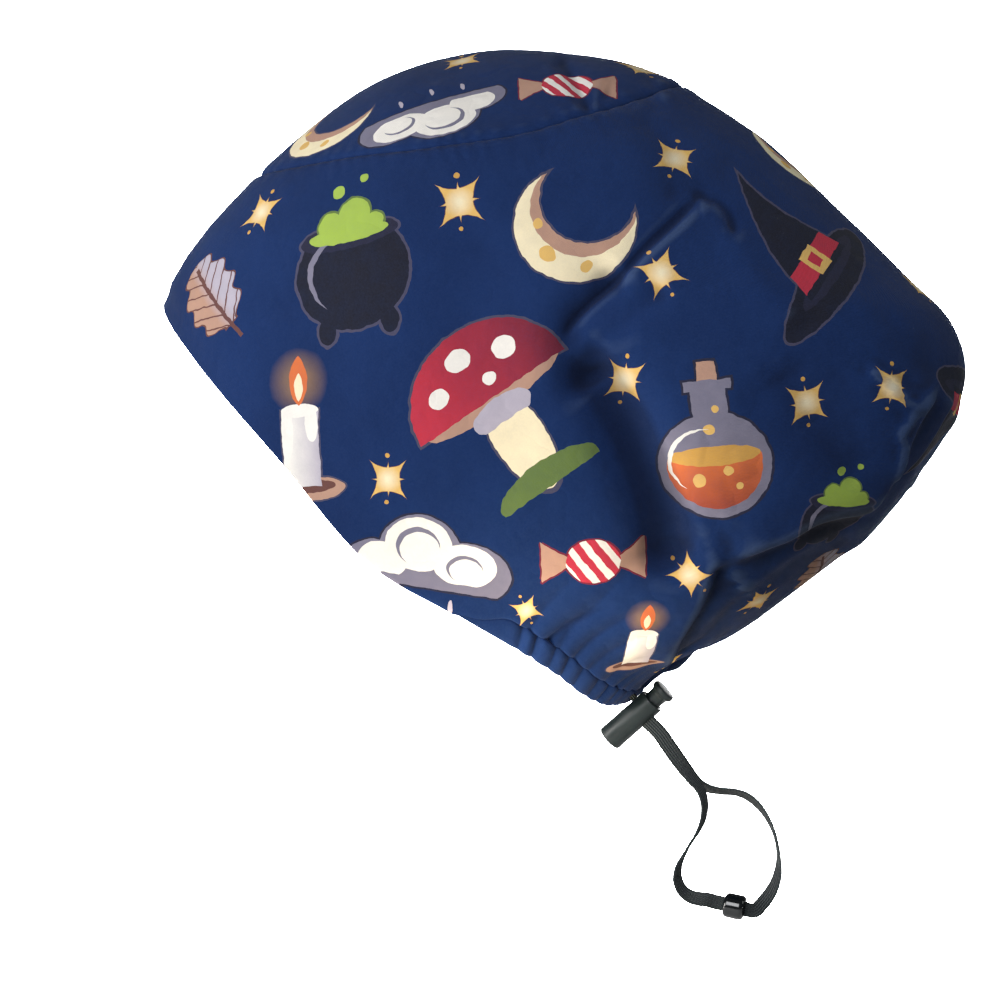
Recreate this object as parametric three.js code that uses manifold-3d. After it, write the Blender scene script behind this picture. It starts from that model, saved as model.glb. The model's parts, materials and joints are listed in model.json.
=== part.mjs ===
// A cotton scrub cap in its worn form: a body panel that wraps the head and hangs as a deep pouch behind,
// an oval crown panel, a gathered channel at the nape, and a flat elastic drawcord with a sprung cord lock
// and a bead. Units are millimetres. The wearer faces -X, the wearer's left is -Y and +Z is up.
// The origin is the centre of the head, level with the temples, where the cap sits.

import * as THREE from "three";
import { mergeVertices } from "three/addons/utils/BufferGeometryUtils.js";
import Module from "manifold-3d";

const wasm = await Module();
wasm.setup();

// Overall sizes that the tables below share out
const cap_length = 308;
const cap_height = 246;
const cap_width = 160;

// Cloth
const cloth = 1.2;
const hem_thickness = 2.2;
const hem_height = 12;
const seam_gap = 0.35;
const crown_seam_gap = 0.9;
const crown_rise = 31;
const crown_centre_share = 0.43;
const crown_edge_share = 0.9;
const front_round = 2.1;

// Gathered channel at the nape
const casing_height = 10;
const casing_depth = 4.6;
const casing_wall = 1.1;
const casing_reach = 90;
const casing_taper = 16;
const casing_end_share = 0.32;
const casing_corner = 0.28;
const body_step_down = 8;
const gather_pitch = 12.5;
const gather_depth = 1.3;
const gather_fade = 38;

// Elastic
const elastic_width = 5.5;
const elastic_thickness = 1.2;

// Cord lock
const barrel_radius = 5;
const barrel_bore = 3.8;
const barrel_length = 22.5;
const barrel_floor = 2;
const lock_slot_length = 6.2;
const lock_slot_width = 3.4;
const lock_slot_from_mouth = 6.5;
const plunger_clearance = 0.25;
const plunger_travel = 3.5;
const plunger_foot = 2.5;
const button_radius = 4.7;
const button_neck = 3.9;
const button_thickness = 2.8;
const round_steps = 24;
const touch_gap = 0.35;

// Bead
const bead_radius = 4.7;
const bead_length = 8;
const bead_bore = 1.6;
const bead_lead = 3.2;

// The grid of the faceted cloth
const steps_round = 96;
const steps_up = 17;
const steps_crown = 5;
const casing_steps = 50;
const row_crowding = 1.15;
const nape_crowding = 0.45;

// One row for each section of the cap, from the rim at the head to the crown seam. The x columns are
// shares of cap_length, the z columns of cap_height, and half, its half width, of cap_width. front and
// back are where the section meets the middle plane, and widest is where it is widest. round is the power
// of its curve behind the widest place: 2 is an ellipse and more is squarer.
const sections = [
  { front_x: -0.325, front_z: 0.311, back_x: 0.250, back_z: -0.317, widest: 0.000, half: 0.478, round: 2.1 },
  { front_x: -0.319, front_z: 0.325, back_x: 0.301, back_z: -0.266, widest: 0.006, half: 0.486, round: 2.1 },
  { front_x: -0.315, front_z: 0.341, back_x: 0.380, back_z: -0.219, widest: 0.018, half: 0.494, round: 2.2 },
  { front_x: -0.307, front_z: 0.358, back_x: 0.461, back_z: -0.150, widest: 0.036, half: 0.500, round: 2.3 },
  { front_x: -0.298, front_z: 0.376, back_x: 0.549, back_z: -0.057, widest: 0.056, half: 0.500, round: 2.4 },
  { front_x: -0.288, front_z: 0.393, back_x: 0.620, back_z: 0.049, widest: 0.076, half: 0.497, round: 2.4 },
  { front_x: -0.277, front_z: 0.409, back_x: 0.669, back_z: 0.170, widest: 0.094, half: 0.494, round: 2.3 },
  { front_x: -0.266, front_z: 0.425, back_x: 0.655, back_z: 0.262, widest: 0.102, half: 0.488, round: 2.3 },
  { front_x: -0.253, front_z: 0.440, back_x: 0.596, back_z: 0.336, widest: 0.102, half: 0.478, round: 2.2 },
  { front_x: -0.239, front_z: 0.456, back_x: 0.516, back_z: 0.435, widest: 0.096, half: 0.462, round: 2.2 },
  { front_x: -0.222, front_z: 0.474, back_x: 0.425, back_z: 0.546, widest: 0.083, half: 0.440, round: 2.1 },
  { front_x: -0.200, front_z: 0.497, back_x: 0.328, back_z: 0.626, widest: 0.065, half: 0.406, round: 2.1 },
];

// How far the rim and the crown seam drop below their straight section, as shares of cap_height, by the
// angle round from the nape.
const edge_drops = [
  { degrees: 0, rim: 0.000, seam: 0.000 },
  { degrees: 20, rim: 0.004, seam: 0.014 },
  { degrees: 40, rim: -0.006, seam: 0.036 },
  { degrees: 65, rim: 0.012, seam: 0.050 },
  { degrees: 90, rim: 0.046, seam: 0.044 },
  { degrees: 115, rim: 0.018, seam: 0.026 },
  { degrees: 140, rim: 0.002, seam: 0.016 },
  { degrees: 160, rim: 0.000, seam: 0.008 },
  { degrees: 180, rim: 0.000, seam: 0.000 },
];

// One row for each large fold, drawn on the side view: its ends as shares of cap_length along x and of
// cap_height up z, its depth and width as shares of cap_width. A positive depth is a valley and a negative
// one a ridge. right is the share of it that shows on the wearer's right.
const fold_side_fade = 0.16 * cap_width;
const fold_near_middle = 0.12 * cap_width;
const fold_off_middle = 0.30 * cap_width;
const folds = [
  { from_x: 0.360, from_z: 0.480, to_x: 0.205, to_z: 0.255, depth: 0.046, width: 0.062, right: 0.7 },
  { from_x: 0.265, from_z: 0.210, to_x: 0.325, to_z: -0.120, depth: 0.040, width: 0.120, right: 1.0 },
  { from_x: 0.420, from_z: 0.440, to_x: 0.520, to_z: 0.280, depth: 0.020, width: 0.070, right: 0.5 },
  { from_x: 0.630, from_z: 0.090, to_x: 0.500, to_z: -0.040, depth: -0.024, width: 0.070, right: 0.8 },
  { from_x: 0.500, from_z: -0.040, to_x: 0.385, to_z: -0.105, depth: -0.022, width: 0.065, right: 0.8 },
];

function catmullRom(table, place, name) {
  const last = table.length - 1;
  const first = Math.min(Math.max(Math.floor(place), 0), last - 1);
  const s = place - first;
  const a = table[Math.max(first - 1, 0)][name];
  const b = table[first][name];
  const c = table[first + 1][name];
  const d = table[Math.min(first + 2, last)][name];
  return b + 0.5 * s * (c - a + s * (2 * a - 5 * b + 4 * c - d + s * (3 * (b - c) + d - a)));
}

function smooth(low, high, value) {
  const s = Math.min(Math.max((value - low) / (high - low), 0), 1);
  return s * s * (3 - 2 * s);
}

function edgeDrop(angle, name) {
  const degrees = Math.abs(angle) * 180 / Math.PI;
  let index = 0;
  while (index < edge_drops.length - 2 && degrees > edge_drops[index + 1].degrees) index += 1;
  const low = edge_drops[index].degrees;
  const high = edge_drops[index + 1].degrees;
  return cap_height * catmullRom(edge_drops, index + (degrees - low) / (high - low), name);
}

// A point of the plain cap. angle runs round from the nape, positive on the wearer's left. up is 0 at the
// rim, 1 at the crown seam and 2 at the top of the crown.
function plainPoint(angle, up) {
  const place = Math.min(up, 1) * (sections.length - 1);
  const front_x = cap_length * catmullRom(sections, place, "front_x");
  const back_x = cap_length * catmullRom(sections, place, "back_x");
  const front_z = cap_height * catmullRom(sections, place, "front_z");
  const back_z = cap_height * catmullRom(sections, place, "back_z");
  const widest = cap_length * catmullRom(sections, place, "widest");
  const half_width = cap_width * catmullRom(sections, place, "half");
  const along = Math.cos(angle);
  const across = Math.sin(angle);
  const reach = along > 0 ? back_x - widest : widest - front_x;
  const power = along > 0 ? catmullRom(sections, place, "round") : front_round;
  const radius = (Math.abs(along / reach) ** power + Math.abs(across / half_width) ** power) ** (-1 / power);
  const x = widest + radius * along;
  const y = -radius * across;
  const tilt = (back_z - front_z) / (back_x - front_x);
  const rim_share = (1 - Math.min(up, 1)) ** 2;
  const seam_share = Math.min(up, 1) ** 3;
  const drop = edgeDrop(angle, "rim") * rim_share + edgeDrop(angle, "seam") * seam_share;
  const z = front_z + (x - front_x) * tilt - drop;
  if (up <= 1) return new THREE.Vector3(x, y, z);
  const share = 2 - up;
  const centre_x = front_x + crown_centre_share * (back_x - front_x);
  const centre_z = front_z + (centre_x - front_x) * tilt;
  const rise = crown_rise * (1 - share * share);
  return new THREE.Vector3(
    centre_x + share * (x - centre_x), share * y, centre_z + share * (z - centre_z) + rise);
}

function plainNormal(angle, up) {
  const small = 0.004;
  const low = Math.max(up - small, 0);
  const high = Math.min(up + small, 1.995);
  const round = plainPoint(angle + small, up).sub(plainPoint(angle - small, up));
  const rising = plainPoint(angle, high).sub(plainPoint(angle, low));
  return rising.cross(round).normalize();
}

// Millimetres along the rim from the nape, worked out once by short steps
const rim_table = [{ angle: 0, length: 0 }];
for (let step = 1; step <= 180; step += 1) {
  const angle = step * Math.PI / 180;
  const before = rim_table[step - 1];
  const length = before.length + plainPoint(angle, 0).distanceTo(plainPoint(before.angle, 0));
  rim_table.push({ angle, length });
}

function rimLength(angle) {
  const step = Math.min(Math.abs(angle) * 180 / Math.PI, 179.999);
  const low = Math.floor(step);
  const a = rim_table[low].length;
  const b = rim_table[low + 1].length;
  return Math.sign(angle) * (a + (step - low) * (b - a));
}

function rimAngle(length) {
  let step = 1;
  while (step < 180 && rim_table[step].length < Math.abs(length)) step += 1;
  const a = rim_table[step - 1];
  const b = rim_table[step];
  const share = (Math.abs(length) - a.length) / (b.length - a.length);
  return Math.sign(length) * (a.angle + share * (b.angle - a.angle));
}

// A large fold: a rounded groove or ridge along a straight line of the side view, faded at its ends
function foldDepth(point) {
  let depth = 0;
  for (const fold of folds) {
    const start = new THREE.Vector2(cap_length * fold.from_x, cap_height * fold.from_z);
    const line = new THREE.Vector2(cap_length * fold.to_x, cap_height * fold.to_z).sub(start);
    const place = new THREE.Vector2(point.x, point.z).sub(start);
    const length = line.length();
    const along = place.dot(line) / length;
    const off = place.cross(line) / length;
    const beyond = Math.max(-along, along - length, 0);
    const width = cap_width * fold.width;
    const side = smooth(-fold_side_fade, fold_side_fade, -point.y);
    const strength = fold.right + (1 - fold.right) * side;
    const edge = smooth(fold_near_middle, fold_off_middle, Math.abs(point.y));
    const shape = Math.exp(-((off / width) ** 2) - (beyond / width) ** 2);
    depth += cap_width * fold.depth * strength * edge * shape;
  }
  return depth;
}

// The gathers are waves along the rim that fade upwards and end with the channel
function gatherWave(angle, height) {
  const length = rimLength(angle);
  const ends = 1 - smooth(casing_reach - 2 * casing_taper, casing_reach + casing_taper, Math.abs(length));
  const fade = Math.exp(-((height / gather_fade) ** 2));
  return gather_depth * ends * fade * Math.cos(2 * Math.PI * length / gather_pitch);
}

function surfacePoint(angle, up) {
  const point = plainPoint(angle, up);
  const height = point.distanceTo(plainPoint(angle, 0));
  const move = gatherWave(angle, height) - foldDepth(point);
  return point.addScaledVector(plainNormal(angle, up), move);
}

// The channel tapers towards its two ends
function casingHeight(length) {
  const taper = smooth(casing_reach - casing_taper, casing_reach, Math.abs(length));
  return casing_height * (1 - (1 - casing_end_share) * taper);
}

// Where the body panel begins above the rim: over the channel, and at the rim itself beyond the channel
function bodyStart(length) {
  const beyond = Math.abs(length) - casing_reach;
  return (casingHeight(length) + seam_gap) * (1 - smooth(0.5 * body_step_down, 1.5 * body_step_down, beyond));
}

// The value of up that lies a given number of millimetres above the rim
function upAtHeight(angle, height) {
  const foot = plainPoint(angle, 0);
  let up = 0;
  while (plainPoint(angle, up).distanceTo(foot) < height) up += 0.001;
  return up;
}

// The angle round from the nape at a share of the way round, with the steps closer together at the nape
function crowdedAngle(share) {
  const u = 2 * share - 1;
  return Math.PI * ((1 - nape_crowding) * u + nape_crowding * u * u * u);
}

// Joins rings of points into one closed cloth wall. Each ring goes once round. The inner rings lie behind
// the outer ones. Without an apex both ends are open edges closed by a narrow strip.
function clothWall(outer, inner, outer_apex, inner_apex) {
  const count = outer[0].length;
  const rows = outer.length;
  const points = [...outer.flat(), ...inner.flat()];
  const faces = [];
  const quad = (a, b, c, d) => faces.push(a, b, c, a, c, d);
  const offset = rows * count;
  for (let row = 0; row < rows - 1; row += 1) {
    for (let step = 0; step < count; step += 1) {
      const next = (step + 1) % count;
      const a = row * count + step;
      const b = row * count + next;
      quad(a, a + count, b + count, b);
      quad(offset + a, offset + b, offset + b + count, offset + a + count);
    }
  }
  for (let step = 0; step < count; step += 1) {
    const next = (step + 1) % count;
    quad(step, next, offset + next, offset + step);
    const top = (rows - 1) * count;
    if (!outer_apex) quad(top + next, top + step, offset + top + step, offset + top + next);
    if (outer_apex) {
      faces.push(top + step, points.length, top + next);
      faces.push(offset + top + next, points.length + 1, offset + top + step);
    }
  }
  if (outer_apex) points.push(outer_apex, inner_apex);
  const geometry = new THREE.BufferGeometry();
  geometry.setAttribute("position", new THREE.Float32BufferAttribute(points.flatMap((p) => p.toArray()), 3));
  geometry.setIndex(faces);
  return geometry;
}

// The inner ring of points, moved in from the outer surface along its own normal
function innerRings(outer, thickness) {
  const rows = outer.length;
  const count = outer[0].length;
  return outer.map((ring, row) => ring.map((point, step) => {
    const round = ring[(step + 1) % count].clone().sub(ring[(step + count - 1) % count]);
    const rising = outer[Math.min(row + 1, rows - 1)][step].clone().sub(outer[Math.max(row - 1, 0)][step]);
    const normal = rising.cross(round).normalize();
    return point.clone().addScaledVector(normal, -thickness(row, step));
  }));
}

const fabric = new THREE.MeshStandardMaterial({ color: 0x1c3263, roughness: 0.92, metalness: 0 });
const crown_fabric = new THREE.MeshStandardMaterial({ color: 0x1e3569, roughness: 0.92, metalness: 0 });
const casing_fabric = new THREE.MeshStandardMaterial({ color: 0x18294f, roughness: 0.95, metalness: 0 });
const elastic = new THREE.MeshStandardMaterial({ color: 0x20282a, roughness: 0.85, metalness: 0 });
const black_plastic = new THREE.MeshStandardMaterial({ color: 0x1d2627, roughness: 0.45, metalness: 0 });
const glossy_plastic = new THREE.MeshStandardMaterial({ color: 0x0c0e10, roughness: 0.15, metalness: 0 });

const cap = new THREE.Group();

function addPiece(name, geometry, material, parent = cap) {
  const mesh = new THREE.Mesh(geometry, material);
  mesh.name = name;
  parent.add(mesh);
  return mesh;
}

// Body panel
function bodyPanel() {
  const outer = [];
  const heights = [];
  for (let row = 0; row <= steps_up; row += 1) {
    const ring = [];
    const ring_heights = [];
    for (let step = 0; step < steps_round; step += 1) {
      const angle = crowdedAngle(step / steps_round);
      const start = upAtHeight(angle, bodyStart(rimLength(angle)));
      const share = (row / steps_up) ** row_crowding;
      const up = start + (1 - start) * share;
      ring.push(surfacePoint(angle, up));
      ring_heights.push(plainPoint(angle, up).distanceTo(plainPoint(angle, 0)));
    }
    outer.push(ring);
    heights.push(ring_heights);
  }
  const thickness = (row, step) => {
    const hem = 1 - smooth(0.6 * hem_height, hem_height, heights[row][step]);
    return cloth + (hem_thickness - cloth) * hem;
  };
  return clothWall(outer, innerRings(outer, thickness));
}

// Crown panel
function crownPanel() {
  const outer = [];
  for (let row = 0; row < steps_crown; row += 1) {
    const ring = [];
    for (let step = 0; step < steps_round / 2; step += 1) {
      const angle = crowdedAngle(2 * step / steps_round);
      const seam = plainPoint(angle, 1);
      const centre = plainPoint(angle, 2);
      const edge = crown_seam_gap / seam.distanceTo(centre);
      const up = 1 + edge + (crown_edge_share - edge) * row / (steps_crown - 1);
      ring.push(surfacePoint(angle, up));
    }
    outer.push(ring);
  }
  const inner = innerRings(outer, () => cloth);
  const apex = plainPoint(0, 2);
  const inner_apex = apex.clone();
  inner_apex.z -= cloth;
  return clothWall(outer, inner, apex, inner_apex);
}

function manifoldOf(geometry) {
  const plain = geometry.clone();
  for (const name of Object.keys(plain.attributes)) {
    if (name !== "position") plain.deleteAttribute(name);
  }
  const merged = mergeVertices(plain, 0.0001);
  return new wasm.Manifold(new wasm.Mesh({
    numProp: 3,
    vertProperties: new Float32Array(merged.attributes.position.array),
    triVerts: new Uint32Array(merged.index.array),
  }));
}

function geometryOf(solid) {
  const mesh = solid.getMesh();
  const geometry = new THREE.BufferGeometry();
  geometry.setAttribute("position", new THREE.Float32BufferAttribute(mesh.vertProperties, 3));
  geometry.setIndex([...mesh.triVerts]);
  return geometry;
}

// Joins outlines of equal length, one after the other, into a closed solid
function loft(outlines) {
  const count = outlines[0].length;
  const points = outlines.flat();
  const faces = [];
  for (let row = 0; row < outlines.length - 1; row += 1) {
    for (let step = 0; step < count; step += 1) {
      const next = (step + 1) % count;
      const a = row * count + step;
      const b = row * count + next;
      faces.push(a, b, b + count, a, b + count, a + count);
    }
  }
  const top = (outlines.length - 1) * count;
  for (let step = 1; step < count - 1; step += 1) {
    faces.push(0, step + 1, step);
    faces.push(top, top + step, top + step + 1);
  }
  const geometry = new THREE.BufferGeometry();
  geometry.setAttribute("position", new THREE.Float32BufferAttribute(points.flatMap((p) => p.toArray()), 3));
  geometry.setIndex(faces);
  return geometry;
}

// The channel at one place along the rim: its foot on the rim, its way up and out, its height and gather
function casingFrame(length) {
  const angle = rimAngle(length);
  const foot = plainPoint(angle, 0);
  const height = casingHeight(length);
  const up = plainPoint(angle, upAtHeight(angle, height)).sub(foot).normalize();
  const out = plainNormal(angle, 0.02);
  const wave = gatherWave(angle, 0);
  const place = (rise, depth) => foot.clone().addScaledVector(up, rise).addScaledVector(out, depth);
  return { height, wave, place };
}

// An oval outline of the channel at one place along the rim. inset moves it in from the outer face.
function casingOutline(length, inset) {
  const { height, wave, place } = casingFrame(length);
  const low = inset - 0.4 * wave;
  const high = height - inset;
  const near = wave - inset;
  const far = 0.5 * wave - casing_depth + inset;
  const side = casing_corner * (high - low);
  const end = casing_corner * (near - far);
  const outline = [
    [low, far + end], [low, near - end], [low + side, near], [high - side, near],
    [high, near - end], [high, far + end], [high - side, far], [low + side, far],
  ];
  return outline.map(([rise, depth]) => place(rise, depth));
}

function casingSweep(inset, reach) {
  const outlines = [];
  for (let step = 0; step <= casing_steps; step += 1) {
    const length = reach * (2 * step / casing_steps - 1);
    outlines.push(casingOutline(length, inset));
  }
  return loft(outlines);
}

// Nape casing: a closed channel with a small mouth in its outer wall, where the elastic comes out
const nape = plainPoint(0, 0);
const lock_axis = plainPoint(0, upAtHeight(0, casing_height)).sub(nape).normalize();
const lock_out = new THREE.Vector3(lock_axis.z, 0, -lock_axis.x);
const mouth_rise = 0.42 * casing_height;
const mouth_length = 5;
const mouth_width = 6;
const lock_turn = new THREE.Matrix4().makeBasis(lock_out, lock_axis, lock_out.clone().cross(lock_axis));

function napeCasing() {
  const channel = manifoldOf(casingSweep(0, casing_reach));
  const hollow = manifoldOf(casingSweep(casing_wall, casing_reach - casing_wall - casing_taper));
  const mouth = new THREE.BoxGeometry(casing_depth + 2 * gather_depth, mouth_length, mouth_width);
  mouth.applyMatrix4(lock_turn);
  const place = nape.clone().addScaledVector(lock_axis, mouth_rise)
    .addScaledVector(lock_out, gather_depth);
  mouth.translate(place.x, place.y, place.z);
  return geometryOf(channel.subtract(hollow).subtract(manifoldOf(mouth)));
}

// Elastic inside the channel, one length on each side, from the mouth to the end of the hollow
function casingElastic(side) {
  const reach = casing_reach - casing_wall - casing_taper;
  const from = Math.round(casing_steps * (0.5 + 0.5 * mouth_width / reach));
  const outlines = [];
  for (let step = from; step < casing_steps; step += 1) {
    const length = side * reach * (2 * step / casing_steps - 1);
    const { height, wave, place } = casingFrame(length);
    const middle = 0.75 * wave - 0.5 * casing_depth;
    const corners = [[-1, -1], [-1, 1], [1, 1], [1, -1]];
    if (side < 0) corners.reverse();
    outlines.push(corners.map(([rise, depth]) => place(
      0.5 * height - 0.2 * wave + 0.5 * rise * elastic_width, middle + 0.5 * depth * elastic_thickness)));
  }
  return loft(outlines);
}

// Cord lock, in a group whose X points away from the channel and whose Y is the plunger's way out. Its
// origin is the middle of the slot for the elastic.
const lock = new THREE.Group();
const lock_offset = barrel_radius + gather_depth + touch_gap;
lock.position.copy(nape).addScaledVector(lock_axis, mouth_rise).addScaledVector(lock_out, lock_offset);
lock.quaternion.setFromRotationMatrix(lock_turn);
cap.add(lock);

function turned(profile) {
  const points = profile.map(([radius, height]) => new THREE.Vector2(radius, height));
  return new THREE.LatheGeometry(points, round_steps);
}

function slotBox(height) {
  const box = new THREE.BoxGeometry(4 * barrel_radius, lock_slot_length, lock_slot_width);
  box.translate(0, height, 0);
  return manifoldOf(box);
}

function barrel() {
  const top = lock_slot_from_mouth;
  const bottom = top - barrel_length;
  const edge = 0.12 * barrel_radius;
  const cup = turned([
    [0, bottom], [barrel_radius - 2 * edge, bottom], [barrel_radius - 0.6 * edge, bottom + 0.6 * edge],
    [barrel_radius, bottom + 2 * edge], [barrel_radius, top - edge], [barrel_radius - edge, top],
    [barrel_bore, top], [barrel_bore, bottom + barrel_floor], [0, bottom + barrel_floor]]);
  return geometryOf(manifoldOf(cup).subtract(slotBox(0)));
}

// The plunger at rest is pushed out by its spring, so its own slot sits above the barrel's by the travel
function plunger() {
  const shaft = barrel_bore - plunger_clearance;
  const foot = plunger_travel - 0.5 * lock_slot_length - plunger_foot;
  const neck = lock_slot_from_mouth + plunger_travel + touch_gap;
  const top = neck + button_thickness;
  const edge = 0.15 * button_radius;
  const pin = turned([
    [0, foot], [shaft, foot], [shaft, neck - edge], [button_neck, neck], [button_radius, neck + edge],
    [button_radius, top - edge], [button_radius - edge, top], [0, top]]);
  return geometryOf(manifoldOf(pin).subtract(slotBox(plunger_travel)));
}

// The free loop of elastic, as places in millimetres from the middle of the lock's slot: x back from the
// head, z up, y to the wearer's right. Both strands leave the lock side by side and part lower down.
const strand_apart = 0.5 * elastic_thickness + 0.25;
const strand_spread = 2.2;
const strand_steps = 28;
const shared_route = [[7.7, -8.0], [10.7, -12.1], [14.0, -16.6], [17.4, -21.1], [20.8, -25.2]];
const right_route = [
  [24.6, -28.0], [30.1, -29.3], [35.8, -29.7], [40.9, -31.5], [45.4, -35.3], [49.0, -40.6], [51.5, -46.9],
  [52.6, -53.9], [52.1, -60.5], [49.8, -66.4], [46.2, -71.1]];
const left_route = [
  [24.0, -29.1], [25.4, -34.1], [25.0, -39.1], [23.1, -43.9], [20.4, -48.2], [17.6, -52.8], [15.3, -57.7],
  [14.9, -62.6], [17.0, -66.8], [20.8, -69.1], [25.8, -69.7]];
const bead_behind = 36.2;
const bead_below = 72.0;
const bead_tilt = Math.PI * 11 / 180;
const bead_place = lock.position.clone().add(new THREE.Vector3(bead_behind, 0, -bead_below));
const bead_direction = new THREE.Vector3(Math.cos(bead_tilt), 0, -Math.sin(bead_tilt));

function strand(route, side) {
  const count = shared_route.length + route.length;
  const points = [...shared_route, ...route].map(([x, z], index) => {
    const share = index / (count - 1);
    const away = strand_apart + strand_spread * Math.sin(Math.PI * share) ** 2;
    return lock.position.clone().add(new THREE.Vector3(x, side * away, z));
  });
  const start = lock.position.clone().addScaledVector(lock_out, barrel_radius + touch_gap);
  start.y = side * strand_apart;
  const end = bead_place.clone().addScaledVector(bead_direction, side * (0.5 * bead_length + touch_gap));
  const lead = end.clone().addScaledVector(bead_direction, side * bead_lead);
  const curve = new THREE.CatmullRomCurve3([start, ...points, lead, end], false, "centripetal");
  const wide = 0.5 * elastic_width;
  const thick = 0.5 * elastic_thickness;
  const section = new THREE.Shape([
    [-thick, 0.8 * wide], [-thick, -0.8 * wide], [-0.5 * thick, -wide], [0.5 * thick, -wide],
    [thick, -0.8 * wide], [thick, 0.8 * wide], [0.5 * thick, wide], [-0.5 * thick, wide],
  ].map(([x, y]) => new THREE.Vector2(x, y)));
  return new THREE.ExtrudeGeometry(section, { steps: strand_steps, bevelEnabled: false, extrudePath: curve });
}

function bead() {
  const half = 0.5 * bead_length;
  const edge = 0.28 * bead_radius;
  const geometry = turned([
    [bead_bore, -half], [bead_radius - edge, -half], [bead_radius, -half + edge],
    [bead_radius, half - edge], [bead_radius - edge, half], [bead_bore, half], [bead_bore, -half]]);
  const upright = new THREE.Vector3(0, 1, 0);
  geometry.applyQuaternion(new THREE.Quaternion().setFromUnitVectors(upright, bead_direction));
  geometry.translate(bead_place.x, bead_place.y, bead_place.z);
  return geometry;
}

addPiece("body_panel", bodyPanel(), fabric);
addPiece("crown_panel", crownPanel(), crown_fabric);
addPiece("nape_casing", napeCasing(), casing_fabric);
addPiece("casing_elastic_left", casingElastic(1), elastic);
addPiece("casing_elastic_right", casingElastic(-1), elastic);
addPiece("cord_lock_barrel", barrel(), black_plastic, lock);
addPiece("cord_lock_plunger", plunger(), black_plastic, lock);
addPiece("drawcord_left", strand(left_route, -1), elastic);
addPiece("drawcord_right", strand(right_route, 1), elastic);
addPiece("cord_bead", bead(), glossy_plastic);

export default cap;
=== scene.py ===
# %% [markdown]
# # A printed scrub cap
#
# A scrub cap is a soft cotton cap that covers all of the hair. This one has an oval crown, one long body
# panel that goes right round and hangs behind as a deep pouch, and a gathered channel at the nape that holds
# a flat elastic. Both ends of the elastic come out through a sprung cord lock and meet in a bead. The hard
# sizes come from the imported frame. This lesson makes the cloth, the print, the elastic and the mouldings.

# %% Load the frame
import json
import math

import bpy
import numpy as np
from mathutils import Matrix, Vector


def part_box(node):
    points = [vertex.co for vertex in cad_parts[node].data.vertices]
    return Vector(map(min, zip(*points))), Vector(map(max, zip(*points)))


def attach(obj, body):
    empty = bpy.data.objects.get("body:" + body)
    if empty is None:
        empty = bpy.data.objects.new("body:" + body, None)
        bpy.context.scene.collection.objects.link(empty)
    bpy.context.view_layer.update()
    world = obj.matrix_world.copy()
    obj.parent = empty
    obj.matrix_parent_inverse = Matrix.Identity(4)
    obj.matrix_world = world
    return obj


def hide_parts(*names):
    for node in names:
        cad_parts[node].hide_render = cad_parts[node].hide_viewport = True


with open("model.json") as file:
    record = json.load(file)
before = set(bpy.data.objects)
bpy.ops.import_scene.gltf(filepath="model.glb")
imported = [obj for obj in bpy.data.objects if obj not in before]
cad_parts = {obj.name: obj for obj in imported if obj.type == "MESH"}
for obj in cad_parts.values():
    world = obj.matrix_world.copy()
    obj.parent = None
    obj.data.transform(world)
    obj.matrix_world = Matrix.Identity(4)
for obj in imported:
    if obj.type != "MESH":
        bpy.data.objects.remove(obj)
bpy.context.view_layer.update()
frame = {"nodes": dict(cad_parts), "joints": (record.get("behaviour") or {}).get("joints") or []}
MM = 0.001
print("pieces in the frame:", sorted(frame["nodes"]))

# %% [markdown]
# ## The camera
#
# The cap's front is towards -X. The camera stands level with the cap, on its left and a little behind it.
# It could be aimed by hand in the viewport. Here it is worked out from three facts: the turn, the distance
# and how many millimetres a pixel covers at the cap, so that the same facts can place a crease later.

# %% Camera


def add_object(name, data):
    """A new object of the scene, with its mesh, its camera or its light."""
    made = bpy.data.objects.new(name, data)
    bpy.context.scene.collection.objects.link(made)
    return made


picture_side = 1000
mm_per_pixel = 0.38
camera_turn = math.radians(15)
camera_distance = 1600.0
sensor_width = 36.0
across = np.array([math.cos(camera_turn), math.sin(camera_turn), 0.0])
away = np.array([-math.sin(camera_turn), math.cos(camera_turn), 0.0])
aim = 29.3 * across + np.array([0.0, 0.0, -0.8])
camera_place = aim - camera_distance * away

camera_data = bpy.data.cameras.new("photo_camera")
camera_data.sensor_width = sensor_width
camera_data.lens = sensor_width * camera_distance / (picture_side * mm_per_pixel)
camera = add_object("photo_camera", camera_data)
camera.location = camera_place * MM
camera.rotation_euler = (math.pi / 2, 0.0, camera_turn)
bpy.context.scene.camera = camera


def picture(points):
    """Pixel where the camera sees each point: its offset across and down, scaled by distance over depth."""
    offset = points - camera_place
    scale = camera_distance / (offset @ away) / mm_per_pixel
    level = picture_side / 2
    return np.stack([level + offset @ across * scale, level - offset[..., 2] * scale], -1)


print("lens of", round(camera_data.lens, 1), "mm")

# %% [markdown]
# ## Small tools
#
# Every new piece is a grid of points worked out with numpy. These tools turn such a grid into a mesh, make
# its faces point outwards and hand it to the body that carries it.

# %% Curves and grids


def smooth(low, high, value):
    """0 below low, 1 above high, and 3s² - 2s³ between them, with s the share of the way."""
    s = np.clip((value - low) / (high - low), 0.0, 1.0)
    return s * s * (3 - 2 * s)


def unit(vectors):
    """Each vector over its own length."""
    return vectors / np.maximum(np.linalg.norm(vectors, axis=-1, keepdims=True), 1e-12)


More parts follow.
